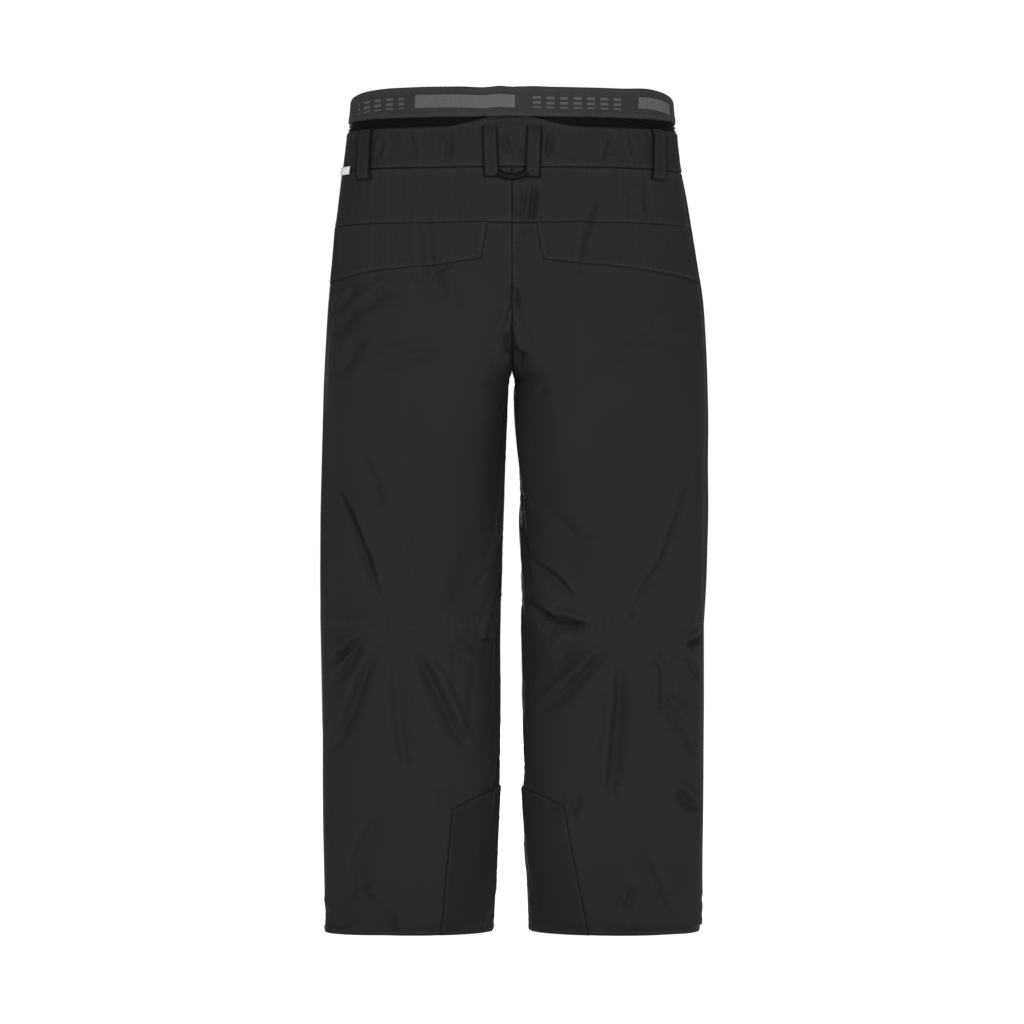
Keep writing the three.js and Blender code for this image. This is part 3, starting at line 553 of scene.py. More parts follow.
def cloth_base(name, colour, *, pitch, weave_depth, rough, sheen, crinkle,
               twill=False, stitches=True, edge=0.0, edge_width=0.0014):
    """Woven cloth: thread rows, uneven dye, worn seam edges, painted shade along seams and cut edges, fine crinkles
    and two rows of topstitching.

    pitch is the drawn thread spacing, weave_depth and crinkle are heights in metres; edge sets how dark the painted
    shade along cut edges is.
    """
    material, tree, shader = new_material(name)
    uv = add_node(tree, "UVMap", uv_map="Cloth").outputs["UV"]
    split = add_node(tree, "SeparateXYZ", {0: uv})
    seam = add_node(tree, "Attribute", attribute_name="Seam").outputs["Fac"]
    run = add_node(tree, "Attribute", attribute_name="Run").outputs["Fac"]
    sure = add_node(tree, "Attribute", attribute_name="Sure").outputs["Fac"]
    turns = 2 * math.pi / pitch
    u, v = split.outputs["X"], split.outputs["Y"]
    if twill:
        u = add_node(tree, "Math", {0: u, 1: v}, operation="ADD")
        v = add_node(tree, "Math", {0: v, 1: 0.5}, operation="MULTIPLY")
    warp = add_node(tree, "Math", {
        0: add_node(tree, "Math", {0: u, 1: turns}, operation="MULTIPLY"),
    }, operation="SINE")
    weft = add_node(tree, "Math", {
        0: add_node(tree, "Math", {0: v, 1: turns}, operation="MULTIPLY"),
    }, operation="SINE")
    weave = add_node(tree, "Math", {
        0: add_node(tree, "Math", {
            0: add_node(tree, "Math", {0: warp, 1: weft}, operation="MULTIPLY"),
            1: warp,
        }, operation="ADD"),
        1: weave_depth,
    }, operation="MULTIPLY")
    fine, broad, small = (
        add_node(tree, "TexNoise", {"Vector": uv, "Scale": 1 / grain, "Detail": 3.0}, noise_dimensions="2D")
        for grain in (0.002, 0.16, 0.014)
    )
    height = add_node(tree, "Math", {0: fine, 1: weave_depth * 2.5, 2: weave}, operation="MULTIPLY_ADD")
    height = add_node(tree, "Math", {0: small, 1: crinkle, 2: height}, operation="MULTIPLY_ADD")
    tone = add_node(tree, "Math", {0: broad, 1: 0.3, 2: 0.7}, operation="MULTIPLY_ADD")
    tone = add_node(tree, "Math", {
        0: tone,
        1: add_node(tree, "Math", {0: fine, 1: 0.3}, operation="MULTIPLY"),
    }, operation="ADD")
    tone = add_node(tree, "Math", {0: warp, 1: 0.03, 2: tone}, operation="MULTIPLY_ADD")
    worn = add_node(tree, "Math", {
        0: band(tree, seam, 0.0035, 0.0005, 0.0035),
        1: add_node(tree, "Math", {0: small, 1: 0.3}, operation="MULTIPLY"),
    }, operation="MULTIPLY")
    tone = add_node(tree, "Math", {0: tone, 1: worn}, operation="ADD")
    if stitches:
        pucker = add_node(tree, "Math", {
            0: add_node(tree, "Math", {
                0: add_node(tree, "Math", {0: small, 1: 0.006, 2: run}, operation="MULTIPLY_ADD"),
                1: 2 * math.pi / PUCKER,
            }, operation="MULTIPLY"),
        }, operation="SINE")
        pucker = add_node(tree, "Math", {
            0: add_node(tree, "Math", {0: pucker, 1: sure}, operation="MULTIPLY"),
            1: band(tree, seam, 0.004, 0.003, 0.01),
        }, operation="MULTIPLY")
        height = add_node(tree, "Math", {0: pucker, 1: 0.00022, 2: height}, operation="MULTIPLY_ADD")
        dash = add_node(tree, "Math", {
            0: add_node(tree, "Math", {
                0: add_node(tree, "Math", {0: run, 1: 2 * math.pi / STITCH}, operation="MULTIPLY"),
            }, operation="SINE"),
            1: -0.35,
        }, operation="GREATER_THAN")
        rows = add_node(tree, "Math", {
            0: band(tree, seam, STITCH_ROWS[0], ROW_HALF, ROW_FADE),
            1: band(tree, seam, STITCH_ROWS[1], ROW_HALF, ROW_FADE),
        }, operation="MAXIMUM")
        rows = add_node(tree, "Math", {0: rows, 1: sure}, operation="MULTIPLY")
        thread = add_node(tree, "Math", {0: dash, 1: rows}, operation="MULTIPLY")
        height = add_node(tree, "Math", {
            0: thread,
            1: 0.0003,
            2: add_node(tree, "Math", {0: rows, 1: -0.00025, 2: height}, operation="MULTIPLY_ADD"),
        }, operation="MULTIPLY_ADD")
        tone = add_node(tree, "Math", {
            0: tone,
            1: add_node(tree, "Math", {0: thread, 1: 0.28}, operation="MULTIPLY"),
        }, operation="ADD")
    # Painted shade: the colour is darkened along seams and cut edges, to half on stitched cloth and by edge on the
    # rest, standing in for the shade in a seam's groove or under a raised edge.
    groove = add_node(tree, "MapRange", {
        "Value": seam, "From Min": edge_width * 0.3, "From Max": edge_width,
        "To Min": 0.5 if stitches else 1.0 - edge, "To Max": 1.0,
    })
    tone = add_node(tree, "Math", {0: tone, 1: groove}, operation="MULTIPLY")
    mixed = add_node(tree, "Mix", {"Factor": 1.0, "A": colour, "B": tone}, data_type="RGBA", blend_type="MULTIPLY")
    tree.links.new(mixed.outputs["Result"], shader.inputs["Base Color"])
    tree.links.new(
        add_node(tree, "Math", {0: fine, 1: 0.16, 2: rough - 0.08}, operation="MULTIPLY_ADD").outputs[0],
        shader.inputs["Roughness"]
    )
    shader.inputs["Specular IOR Level"].default_value = 0.10
    shader.inputs["IOR"].default_value = 1.5
    shader.inputs["Sheen Weight"].default_value = sheen
    shader.inputs["Sheen Roughness"].default_value = 0.45
    bump = add_node(tree, "Bump", {"Strength": 1.0, "Distance": 1.0, "Height": height})
    tree.links.new(bump.outputs["Normal"], shader.inputs["Normal"])
    return material, tree, shader, mixed, split


def shell_polyamide(name, colour):
    # Plain-woven polyamide shell cloth, waterproofed: matt and close, with a faint sheen on its folds.
    return cloth_base(name, colour, pitch=0.0022, weave_depth=0.00003, rough=0.72, sheen=0.015, crinkle=0.0006)[0]


def guard_basket_weave(name, colour):
    # Coarse textured polyamide for scuff guards: a heavy visible basket weave, darker and rougher than the shell.
    return cloth_base(name, colour, pitch=0.0034, weave_depth=0.00009, rough=0.78, sheen=0.03, crinkle=0.0002)[0]


def lining_taffeta(name, colour):
    # Thin polyester taffeta: smoother and a little shinier than the shell, crinkled where it is gathered.
    return cloth_base(name, colour, pitch=0.0018, weave_depth=0.00002, rough=0.5, sheen=0.08, crinkle=0.0008,
                      stitches=False)[0]


def webbing_twill(name, colour):
    # Flat polyester twill tape: diagonal ribs, with its edges painted dark as an outline: painted shade under the
    # strap's lifted edges.
    return cloth_base(name, colour, pitch=0.0026, weave_depth=0.00010, rough=0.7, sheen=0.03, crinkle=0.0001,
                      twill=True, stitches=False, edge=0.85, edge_width=0.0030)[0]


def zip_tape_polyester(name, colour):
    # Woven polyester zip tape: fine slanting rows, quite matt.
    return cloth_base(name, colour, pitch=0.0016, weave_depth=0.00005, rough=0.72, sheen=0.02, crinkle=0.0001,
                      twill=True, stitches=False, edge=0.3)[0]


def label_satin(name, colour):
    # White woven satin label: smooth, slightly glossy thread rows and a folded edge, with shade painted along its
    # edges.
    return cloth_base(name, colour, pitch=0.0012, weave_depth=0.00003, rough=0.45, sheen=0.05, crinkle=0.0001,
                      stitches=False, edge=0.25)[0]


PATTERN_MIDDLE, PATTERN_EDGE = 0.0185, 0.0006  # its height up the elastic, and the fade at its edges
DASH, DASH_ROW = 0.017, 0.0064  # spacing of the dashes along a row, and of the rows


def elastic_jacquard(name, colour, light):
    # Jacquard-woven elastic: lengthwise ribs crossed by rubber rows, with plain blocks and dashes in a lighter yarn.
    material, tree, shader, mixed, split = cloth_base(
        name, colour, pitch=0.0030, weave_depth=0.00016, rough=0.75, sheen=0.04, crinkle=0.0002,
        stitches=False, edge=0.35)
    u, v = split.outputs["X"], split.outputs["Y"]
    u = add_node(tree, "Math", {0: u, 1: FLAT_SHIFT}, operation="SUBTRACT")
    blocks = add_node(tree, "Math", {
        0: band(tree, u, 0.0605, 0.0625, PATTERN_EDGE),
        1: band(tree, v, PATTERN_MIDDLE, 0.0078, PATTERN_EDGE),
    }, operation="MULTIPLY")
    end = add_node(tree, "Math", {
        0: band(tree, u, -0.187, 0.026, PATTERN_EDGE),
        1: band(tree, v, PATTERN_MIDDLE, 0.007, PATTERN_EDGE),
    }, operation="MULTIPLY")
    dash = add_node(tree, "Math", {
        0: add_node(tree, "Math", {
            0: add_node(tree, "Math", {0: u, 1: 2 * math.pi / DASH}, operation="MULTIPLY"),
        }, operation="SINE"),
        1: -0.25,
    }, operation="GREATER_THAN")
    rows = add_node(tree, "Math", {
        0: add_node(tree, "Math", {
            0: add_node(tree, "Math", {0: v, 1: 2 * math.pi / DASH_ROW}, operation="MULTIPLY"),
        }, operation="SINE"),
        1: 0.0,
    }, operation="GREATER_THAN")
    zone = add_node(tree, "Math", {
        0: band(tree, u, -0.082, 0.06, 0.001),
        1: band(tree, u, 0.172, 0.034, 0.001),
    }, operation="MAXIMUM")
    dashes = add_node(tree, "Math", {
        0: add_node(tree, "Math", {0: dash, 1: rows}, operation="MULTIPLY"),
        1: add_node(tree, "Math", {0: zone, 1: band(tree, v, PATTERN_MIDDLE, 0.0088, 0.0004)}, operation="MULTIPLY"),
    }, operation="MULTIPLY")
    lit = add_node(tree, "Math", {
        0: add_node(tree, "Math", {0: blocks, 1: end}, operation="MAXIMUM"),
        1: add_node(tree, "Math", {0: dashes, 1: 0.7}, operation="MULTIPLY"),
    }, operation="MAXIMUM")
    ribs = add_node(tree, "Mix", {
        "Factor": 1.0,
        "A": light,
        "B": mixed.inputs["B"].links[0].from_socket,
    }, data_type="RGBA", blend_type="MULTIPLY")
    woven = add_node(tree, "Mix", {
        "Factor": lit,
        "A": mixed.outputs["Result"],
        "B": ribs.outputs["Result"],
    }, data_type="RGBA")
    tree.links.new(woven.outputs["Result"], shader.inputs["Base Color"])
    return material


def hard_base(name, colour, *, rough, metallic, grain_size, depth, coat=0.0):
    """A moulded or stamped part: fine surface grain, handling marks and slightly uneven colour."""
    material, tree, shader = new_material(name)
    spot = add_node(tree, "TexCoord").outputs["Object"]
    fine = add_node(tree, "TexNoise", {"Vector": spot, "Scale": 1 / grain_size, "Detail": 4.0}).outputs["Fac"]
    marks = add_node(tree, "TexNoise", {"Vector": spot, "Scale": 1 / 0.006, "Detail": 6.0}).outputs["Fac"]
    tone = add_node(tree, "Math", {
        0: add_node(tree, "Math", {0: marks, 1: 0.35, 2: 0.7}, operation="MULTIPLY_ADD"),
        1: add_node(tree, "Math", {0: fine, 1: 0.25}, operation="MULTIPLY"),
    }, operation="ADD")
    mixed = add_node(tree, "Mix", {"Factor": 1.0, "A": colour, "B": tone}, data_type="RGBA", blend_type="MULTIPLY")
    tree.links.new(mixed.outputs["Result"], shader.inputs["Base Color"])
    tree.links.new(
        add_node(tree, "Math", {0: marks, 1: 0.22, 2: rough - 0.11}, operation="MULTIPLY_ADD").outputs[0],
        shader.inputs["Roughness"]
    )
    shader.inputs["Metallic"].default_value = metallic
    shader.inputs["Coat Weight"].default_value = coat
    bump = add_node(tree, "Bump", {
        "Strength": 1.0,
        "Distance": 1.0,
        "Height": add_node(tree, "Math", {0: fine, 1: depth}, operation="MULTIPLY"),
    })
    tree.links.new(bump.outputs["Normal"], shader.inputs["Normal"])
    return material


def acetal_moulded(name, colour):
    # Moulded black acetal of sliders, pullers and coils: satin, with a fine spark-eroded grain.
    return hard_base(name, colour, rough=0.42, metallic=0.0, grain_size=0.0006, depth=0.00004)


def snap_brass_lacquered(name, colour):
    # Stamped brass snap under dark gunmetal plating: a soft metal gloss with rubbed edges.
    return hard_base(name, colour, rough=0.34, metallic=1.0, grain_size=0.0010, depth=0.00002)


LOOKS = {}


def looks(key):
    """The finished material of a kind, made once."""
    cloth = bpy.context.scene.ski_pants_cloth
    makers = {
        "shell": lambda: shell_polyamide("shell polyamide", cloth.shell_colour),
        # The gathered casing's near black colour is painted shade of its recess between the elastic and the
        # waistband.
        "casing": lambda: shell_polyamide("gathered shell polyamide", linear("0A0A0A")),
        "guard": lambda: guard_basket_weave("guard polyamide basket weave", cloth.guard_colour),
        "lining": lambda: lining_taffeta("lining taffeta", linear("1F2022")),
        "webbing": lambda: webbing_twill("webbing twill tape", linear("232323")),
        "hanger": lambda: webbing_twill("dark webbing twill tape", linear("141414")),
        "zip_tape": lambda: zip_tape_polyester("zip tape polyester", linear("1E1E20")),
        "label": lambda: label_satin("label satin", linear("ECECEA")),
        "elastic": lambda: elastic_jacquard("elastic jacquard", cloth.elastic_colour, linear("606061")),
        "plastic": lambda: acetal_moulded("moulded acetal", linear("17171A")),
        "snap": lambda: snap_brass_lacquered("gunmetal plated brass", linear("4A4B50")),
    }
    if key not in LOOKS:
        LOOKS[key] = makers[key]()
    return LOOKS[key]


# ---------------------------------------------------------------- settings
class SkiPantsCloth(bpy.types.PropertyGroup):
    """Colours and cloth shape of the pants."""

    shell_colour: FloatVectorProperty(name="Shell colour", description="Colour of the shell cloth",
                                      subtype="COLOR", size=4, min=0, max=1, default=linear("262626"))
    guard_colour: FloatVectorProperty(name="Guard colour", description="Colour of the scuff guards",
                                      subtype="COLOR", size=4, min=0, max=1, default=linear("232323"))
    elastic_colour: FloatVectorProperty(name="Elastic colour", description="Ground colour of the elastic waist",
                                        subtype="COLOR", size=4, min=0, max=1, default=linear("353536"))
    crease_depth: FloatProperty(name="Crease depth",
                                description="How deep the creases are against their listed depths",
                                default=1.25, min=0, max=2, subtype="FACTOR")
    gather_depth: FloatProperty(name="Gather depth", description="How deep the gathers under the elastic are",
                                default=1.0, min=0, max=2, subtype="FACTOR")
    settle_frames: IntProperty(name="Settling frames", description="Frames of cloth simulation",
                               default=24, min=2, max=60)
    settle_limit: FloatProperty(name="Settling limit", description="The most that simulated cloth may move",
                                default=0.006, min=0, max=0.03, subtype="DISTANCE", unit="LENGTH")


class SkiPantsStage(bpy.types.PropertyGroup):
    """Camera and lights."""

    camera_distance: FloatProperty(name="Camera distance", description="Distance from the pants to the camera",
                                   default=4.6, min=1, max=20, subtype="DISTANCE", unit="LENGTH")
    lens: FloatProperty(name="Lens", description="Focal length in millimetres", default=127.5, min=20, max=300)
    key_power: FloatProperty(name="Softbox power", description="Power of each softbox",
                             default=60.0, min=0, unit="POWER")
    surround: FloatProperty(name="Surround", description="Strength of the white surround's light",
                            default=0.22, min=0, max=2)


# ---------------------------------------------------------------- operators
SIDE_ROUND = 0.62  # length round one side of the pants
SEAM_HOLD = 0.006  # how far from a seam its hold on the settling cloth reaches


def settle_side(side, settings):
    """Runs the cloth of one side under its own weight, with seams held, and keeps how far it moved."""
    columns, drops = Settled.columns, Settled.drops
    at, drop = np.meshgrid(columns, drops, indexing="ij")
    start = cloth_place(at, drop, side)
    mesh = grid_mesh("settling", start, flat_spots(start), flip=side < 0)
    piece = new_object("settling", mesh)
    corners = np.empty(len(mesh.vertices) * 3, np.float32)
    mesh.vertices.foreach_get("co", corners)
    first = corners.reshape(-1, 3).astype(float)
    where = np.arange(start[..., 0].size).reshape(len(drops), len(columns)).T.ravel()
    held = piece.vertex_groups.new(name="Held")
    u = np.linspace(0, 1, len(columns))[:, None] + 0 * drop
    edge = np.minimum(np.minimum(u, 1 - u) * SIDE_ROUND, np.minimum(drop - BAND_LOW, HEM - drop))
    hold = 1 - ease(edge / 0.018)
    hold = np.maximum(hold, 0.5 * np.exp(-(((drop - KNEE) / SEAM_HOLD) ** 2)))
    hold = np.maximum(hold, np.exp(-(((drop - YOKE_LOW) / SEAM_HOLD) ** 2)) * (at < 0.5))
    hold = (hold * 20).round() / 20
    for weight in np.unique(hold):
        if weight > 0:
            held.add([int(i) for i in where[np.flatnonzero((hold == weight).ravel())]], float(weight), "REPLACE")
    cloth = piece.modifiers.new("Settle", "CLOTH")
    values = cloth.settings
    values.quality, values.mass, values.air_damping = 5, 0.25, 3.0
    values.tension_stiffness, values.compression_stiffness = 12.0, 12.0
    values.shear_stiffness, values.bending_stiffness = 4.0, 1.2
    values.vertex_group_mass, values.pin_stiffness = "Held", 1.0
    values.shrink_min = -0.012
    cloth.collision_settings.use_collision = False
    cloth.point_cache.frame_start, cloth.point_cache.frame_end = 1, settings.settle_frames
    scene = bpy.context.scene
    for number in range(1, settings.settle_frames + 1):
        scene.frame_set(number)
    settled = piece.evaluated_get(bpy.context.evaluated_depsgraph_get()).to_mesh()
    corners = np.empty(len(settled.vertices) * 3, np.float32)
    settled.vertices.foreach_get("co", corners)
    moved = (corners.reshape(-1, 3) - first)[where].reshape(start.shape)
    size = np.linalg.norm(moved, axis=-1, keepdims=True)
    limit = settings.settle_limit
    moved *= limit * np.tanh(size / limit) / np.maximum(size, 1e-9)
    Settled.moves[side] = moved
    scene.frame_set(1)
    bpy.data.objects.remove(piece)
    bpy.data.meshes.remove(mesh)
    print(f"settled {side}: mean {size.mean() * 1000:.2f} mm, most {size.max() * 1000:.2f} mm")


class SettleCloth(bpy.types.Operator):
    """Settle the shell cloth by simulation, with its seams held"""

    bl_idname = "ski_pants.settle_cloth"
    bl_label = "Settle cloth"

    def execute(self, context):
        Settled.moves = {1: None, -1: None}
        for side, _ in SIDES:
            settle_side(side, context.scene.ski_pants_cloth)
        return {"FINISHED"}


class BuildWaist(bpy.types.Operator):
    """Build the elastic waist, its gathered casing and the waistbands"""

    bl_idname = "ski_pants.build_waist"
    bl_label = "Build waist"

    def execute(self, context):
        reach = (-WRAP, WRAP)

        def wave(a):
            return 0.013 * ease((np.abs(a) - 0.35) / (WRAP - 0.35)) + 0.0012 * rumple(a * 0.9, 0 * a, (0.05, 1), 31)

        cloth_piece("elastic_band", 1, reach, wave, ELASTIC_LOW + 0.001, looks("elastic"), ["elastic_waistband"],
                    thickness=0.0026, sewn=("top", "low"),
                    roll=0.0006, pitch=0.0025)
        # The gathered strip takes the near black casing cloth: painted shade of its recess.
        cloth_piece("gathered_strip", 1, reach, ELASTIC_LOW - 0.001, CASING_LOW + 0.001, looks("casing"),
                    ["gathered_casing"], lift=lambda s, t: -0.0024 + 0.0010 * (2 * t - 1) ** 2,
                    pitch=0.0012, sewn=())
        crown = lambda a: mix(ELASTIC_LOW + 0.001, CASING_LOW, ease((np.abs(a) - 0.11) / 0.13))
        cloth_piece("back_band", 1, reach, crown, BAND_LOW, looks("shell"), ["back_waistband"],
                    thickness=FOLDED, sewn=("top", "low"), pitch=0.0022)
        for side, suffix in SIDES:
            top = lambda a: mix(0.022, 0.045, ease((a - WRAP) / (1 - WRAP)))
            cloth_piece(f"front_band_{suffix}", side, (WRAP, 1.0), top, BAND_LOW, looks("shell"),
                        sided(["front_waistband"], suffix), thickness=FOLDED, sewn=("top", "low", "start"),
                        pitch=0.0025)
        return {"FINISHED"}


class BuildLegs(bpy.types.Operator):
    """Build the yokes, the trunk and thigh cuts, and the lower leg cuts"""

    bl_idname = "ski_pants.build_legs"
    bl_label = "Build trunk and legs"

    def execute(self, context):
        inside = looks("lining")
        for side, suffix in SIDES:
            shell = looks("shell")
            hips, knee = hip_bend(side, suffix), knee_bend(side, suffix)
            cloth_piece(f"yoke_{suffix}", side, (0.0, 0.5), BAND_LOW, YOKE_LOW, shell, sided(["back_yoke"], suffix),
                        sewn=("top", "low", "start"), lining=inside, pitch=0.0025)
            cloth_piece(f"seat_{suffix}", side, (0.0, 0.5), YOKE_LOW, KNEE, shell,
                        sided(["seat_panel", "hip_band", "thigh_back"], suffix), blend=hips,
                        sewn=("top", "low", "start", "end"), faint=("low",), lining=inside, reference=0.45)
            cloth_piece(f"front_{suffix}", side, (0.5, 1.0), BAND_LOW, KNEE, shell,
                        sided(["front_panel", "thigh_front"], suffix), blend=hips,
                        sewn=("top", "low", "start", "end"), faint=("low",), lining=inside, reference=0.45)
            cloth_piece(f"lower_back_{suffix}", side, (0.0, 0.5), KNEE, HEM, shell,
                        sided(["knee_band", "shin_back"], suffix), blend=knee,
                        sewn=("top", "low", "start", "end"), faint=("top",), lining=inside, reference=0.85)
            cloth_piece(f"lower_front_{suffix}", side, (0.5, 1.0), KNEE, HEM, shell,
                        sided(["shin_front"], suffix), blend=knee,
                        sewn=("top", "low", "start", "end"), faint=("top",), lining=inside, reference=0.85)
        return {"FINISHED"}


class BuildHems(bpy.types.Operator):
    """Build the scuff guards, hem facings and snow gaiters"""

    bl_idname = "ski_pants.build_hems"
    bl_label = "Build hems"

    def execute(self, context):
        for side, suffix in SIDES:
            shin = f"shin_{suffix}"
            narrow, wide = (0.96, 1.03) if side > 0 else (0.87, 1.09)
            cloth_piece(f"guard_{suffix}", side, (-0.19, 0.19), lambda a: 0.876 + 0.025 * (a / 0.19) ** 2, HEM,
                        looks("guard"), sided(["scuff_guard"], suffix), lift=0.0019, thickness=0.0014,
                        sewn=("top", "low", "start", "end"), body=shin,
                        lean=lambda a, t: np.where(a > 0, a * mix(narrow, wide, t), a),
                        pitch=0.0025, roll=0.0008)
            for part, reach in (("back", (0.0, 0.5)), ("front", (0.5, 1.0))):
                nodes = sided(["hem_facing"], suffix) if part == "back" else []
                cloth_piece(f"hem_facing_{part}_{suffix}", side, reach, HEM - 0.025, HEM, looks("shell"), nodes,
                            lift=-0.0017, thickness=0.0022, body=shin, sewn=("top",))
                nodes = sided(["snow_gaiter"], suffix) if part == "back" else []
                gaiter = lambda s, t: -0.0042 - 0.024 * t - 0.0012 * t * np.sin(2 * np.pi * 16 * s)
                cloth_piece(f"gaiter_{part}_{suffix}", side, reach, HEM - 0.190, HEM - 0.026, looks("lining"), nodes,
                            lift=gaiter, thickness=0.0009, body=shin,
                            sewn=("top", "low"))
        return {"FINISHED"}


def strap(name, points, width, normals, thickness, lifts, nodes, look="webbing"):
    """A flat strap along points, each with an outward normal and a lift."""
    points, normals = np.array(points), np.array(normals)
    way = np.gradient(points, axis=0)
    way /= np.linalg.norm(way, axis=1, keepdims=True)
    across = np.cross(way, normals)
    across /= np.linalg.norm(across, axis=1, keepdims=True)
    shares = np.linspace(-1, 1, 13)
    crown = 0.0003 * (1 - shares ** 4)
    places = (points + normals * np.array(lifts)[:, None])[None] + across[None] * (shares * width / 2)[:, None, None]
    places = places + normals[None] * crown[:, None, None]
    flat = flat_spots(places)
    mesh = grid_mesh(name, places, flat, ("start", "end", "low"))
    centre = mesh.polygons[len(mesh.polygons) // 2]
    if centre.normal.dot(Vector(normals[len(normals) // 2])) < 0:
        mesh.flip_normals()
    piece = new_object(name, mesh)
    mesh.materials.append(looks(look))
    thicken(piece, thickness)
    attach(piece, nodes)


# Belt loops: place, x at the top and at the foot, and width.
LOOPS = (("back", 0.0282, 0.0250, 0.019), ("side", 0.1855, 0.1800, 0.0215), ("front", 0.1180, 0.1180, 0.019))
LOOP_TOP, LOOP_LOW, LOOP_STEPS = 0.0505, 0.1145, 34
HANGER_TOP, HANGER_DEEP, HANGER_HALF = 0.0975, 0.0165, 0.0235


class BuildLoops(bpy.types.Operator):
    """Build the belt loops and the hanging loop"""

    bl_idname = "ski_pants.build_loops"
    bl_label = "Build loops"

    def execute(self, context):
        for side, suffix in SIDES:
            for kind, top_x, low_x, width in LOOPS:
                drops = np.linspace(LOOP_TOP, LOOP_LOW, LOOP_STEPS)
                around = np.array([around_at(x, 0.082) for x in np.linspace(top_x, low_x, LOOP_STEPS)])
                if kind == "front":
                    around = 1 - around
                points = cloth_place(around, drops, side)
                normals = outward(around, drops)
                normals[:, 0] *= side
                share = np.linspace(0, 1, LOOP_STEPS)
                lifts = 0.0022 + 0.0036 * ease(share / 0.16) * ease((1 - share) / 0.16)
                strap(f"loop_{kind}_{suffix}", points, width, normals, 0.0017, lifts,
                      sided([f"belt_loop_{kind}"], suffix))
        turn = np.linspace(-1, 1, 41)
        x = HANGER_HALF * np.sin(turn * math.pi / 2)
        drops = HANGER_TOP + HANGER_DEEP * np.cos(turn * math.pi / 2)
        around = np.array([np.sign(a) * around_at(abs(a), 0.105) for a in x])
        points, normals = cloth_place(around, drops, 1), outward(around, drops)
        strap("hanging_strap", points, 0.0085, normals, 0.0014, 0.0024 + 0.0022 * np.cos(turn * math.pi / 2),
              ["hanging_loop"], look="hanger")
        return {"FINISHED"}


class BuildFlaps(bpy.types.Operator):
    """Build the back pocket flaps and the side label"""

    bl_idname = "ski_pants.build_flaps"
    bl_label = "Build flaps and label"

    def execute(self, context):
        inner, outer = around_at(0.030, 0.19), around_at(0.2262, 0.20)
        hem = lambda a: YOKE_LOW + mix(0.043, 0.069, np.clip((a - inner) / (outer - inner), 0, 1))
        lean = lambda a, t: a + (around_at(0.038, 0.19) - inner) * t * (outer - a) / (outer - inner)
        for side, suffix in SIDES:
            body = f"back_pocket_flap_{suffix}"
            hinge = ("hips", body, (0.144 * side, 0.088, -0.1705), (0.144 * side, 0.088, -0.180))
            cloth_piece(f"pocket_flap_{suffix}", side, (inner, outer), YOKE_LOW, hem, looks("shell"), [body],
                        lift=lambda s, t: 0.0017 + 0.0006 * ease(t), thickness=0.0016, sewn=("start", "end", "low"),
                        blend=hinge, lean=lean, pitch=0.0025)
        cloth_piece("side_label_white", 1, (0.412, 0.470), 0.0960, 0.1062, looks("label"), ["side_label"],
                    lift=0.0034, thickness=0.0008, sewn=("start", "end", "top", "low"),
                    pitch=0.0015, roll=0.0002)
        return {"FINISHED"}


def zip_frame(name, suffix):
    """A zip's frame, across, along and outward from its closed end, and its length: its slider runs back along it."""
    joint = next(j for j in frame["joints"] if j["name"] == f"{name}{suffix}")
    mesh = frame["nodes"][f"{name}_tape{suffix}"].data
    along = -Vector(joint["axis"]).normalized()
    out = -max(mesh.polygons, key=lambda face: face.area).normal
    axes = Matrix((along.cross(out), along, out))
    spots = np.array([axes @ vertex.co for vertex in mesh.vertices])
    low, high = spots.min(0), spots.max(0)
    matrix = axes.transposed().to_4x4()
    matrix.translation = axes.transposed() @ Vector(((low[0] + high[0]) / 2, high[1], low[2]))
    return matrix, high[1] - low[1]


TAPE_WIDE = 0.022
COIL_TURN, COIL_WIRE = 0.0018, 0.00075  # spacing of a coil's turns, and its wire's radius


def zip_pieces(name, suffix):
    """The woven tape and the coil of one zip."""
    matrix, length = zip_frame(name, suffix)
    across = np.linspace(-TAPE_WIDE / 2, TAPE_WIDE / 2, 15)
    along = spaced(-length, 0, 0.0035)
    s, t = np.meshgrid(across, along, indexing="ij")
    rise = 0.0013 + 0.0007 * np.exp(-((s / 0.0035) ** 2)) + 0.00012 * rumple(s, t, (0.01, 0.02), 41)
    places = np.stack((s, t, rise, np.ones_like(s)), -1) @ np.array(matrix).T
    tape = grid_mesh(f"{name}_tape", places[..., :3], np.stack((s, t), -1), ("start", "end"))
    whole = f"{name}{suffix}"
    if tape.polygons[0].normal.dot(matrix.col[2].xyz) < 0:
        tape.flip_normals()
    piece = new_object(f"{whole}_woven", tape)
    tape.materials.append(looks("zip_tape"))
    thicken(piece, 0.0010)
    bm = bmesh.new()
    turned = Matrix.Rotation(math.pi / 2, 4, "Y")
    for i, spot in enumerate(np.arange(-length + 0.002, -0.002, COIL_TURN)):
        place = Matrix.Translation((0.0003 * (-1) ** i, spot, 0.0024)) @ Matrix.Diagonal((1, 1, 0.8, 1)) @ turned
        bmesh.ops.create_cone(bm, cap_ends=True, segments=6, radius1=COIL_WIRE, radius2=COIL_WIRE, depth=0.0046,
                              matrix=matrix @ place)
    bmesh.ops.recalc_face_normals(bm, faces=bm.faces)
    coil_mesh = bpy.data.meshes.new(f"{whole}_coil")
    bm.to_mesh(coil_mesh)
    bm.free()
    coil = new_object(f"{whole}_coil", coil_mesh)
    coil_mesh.materials.append(looks("plastic"))
    return piece, coil


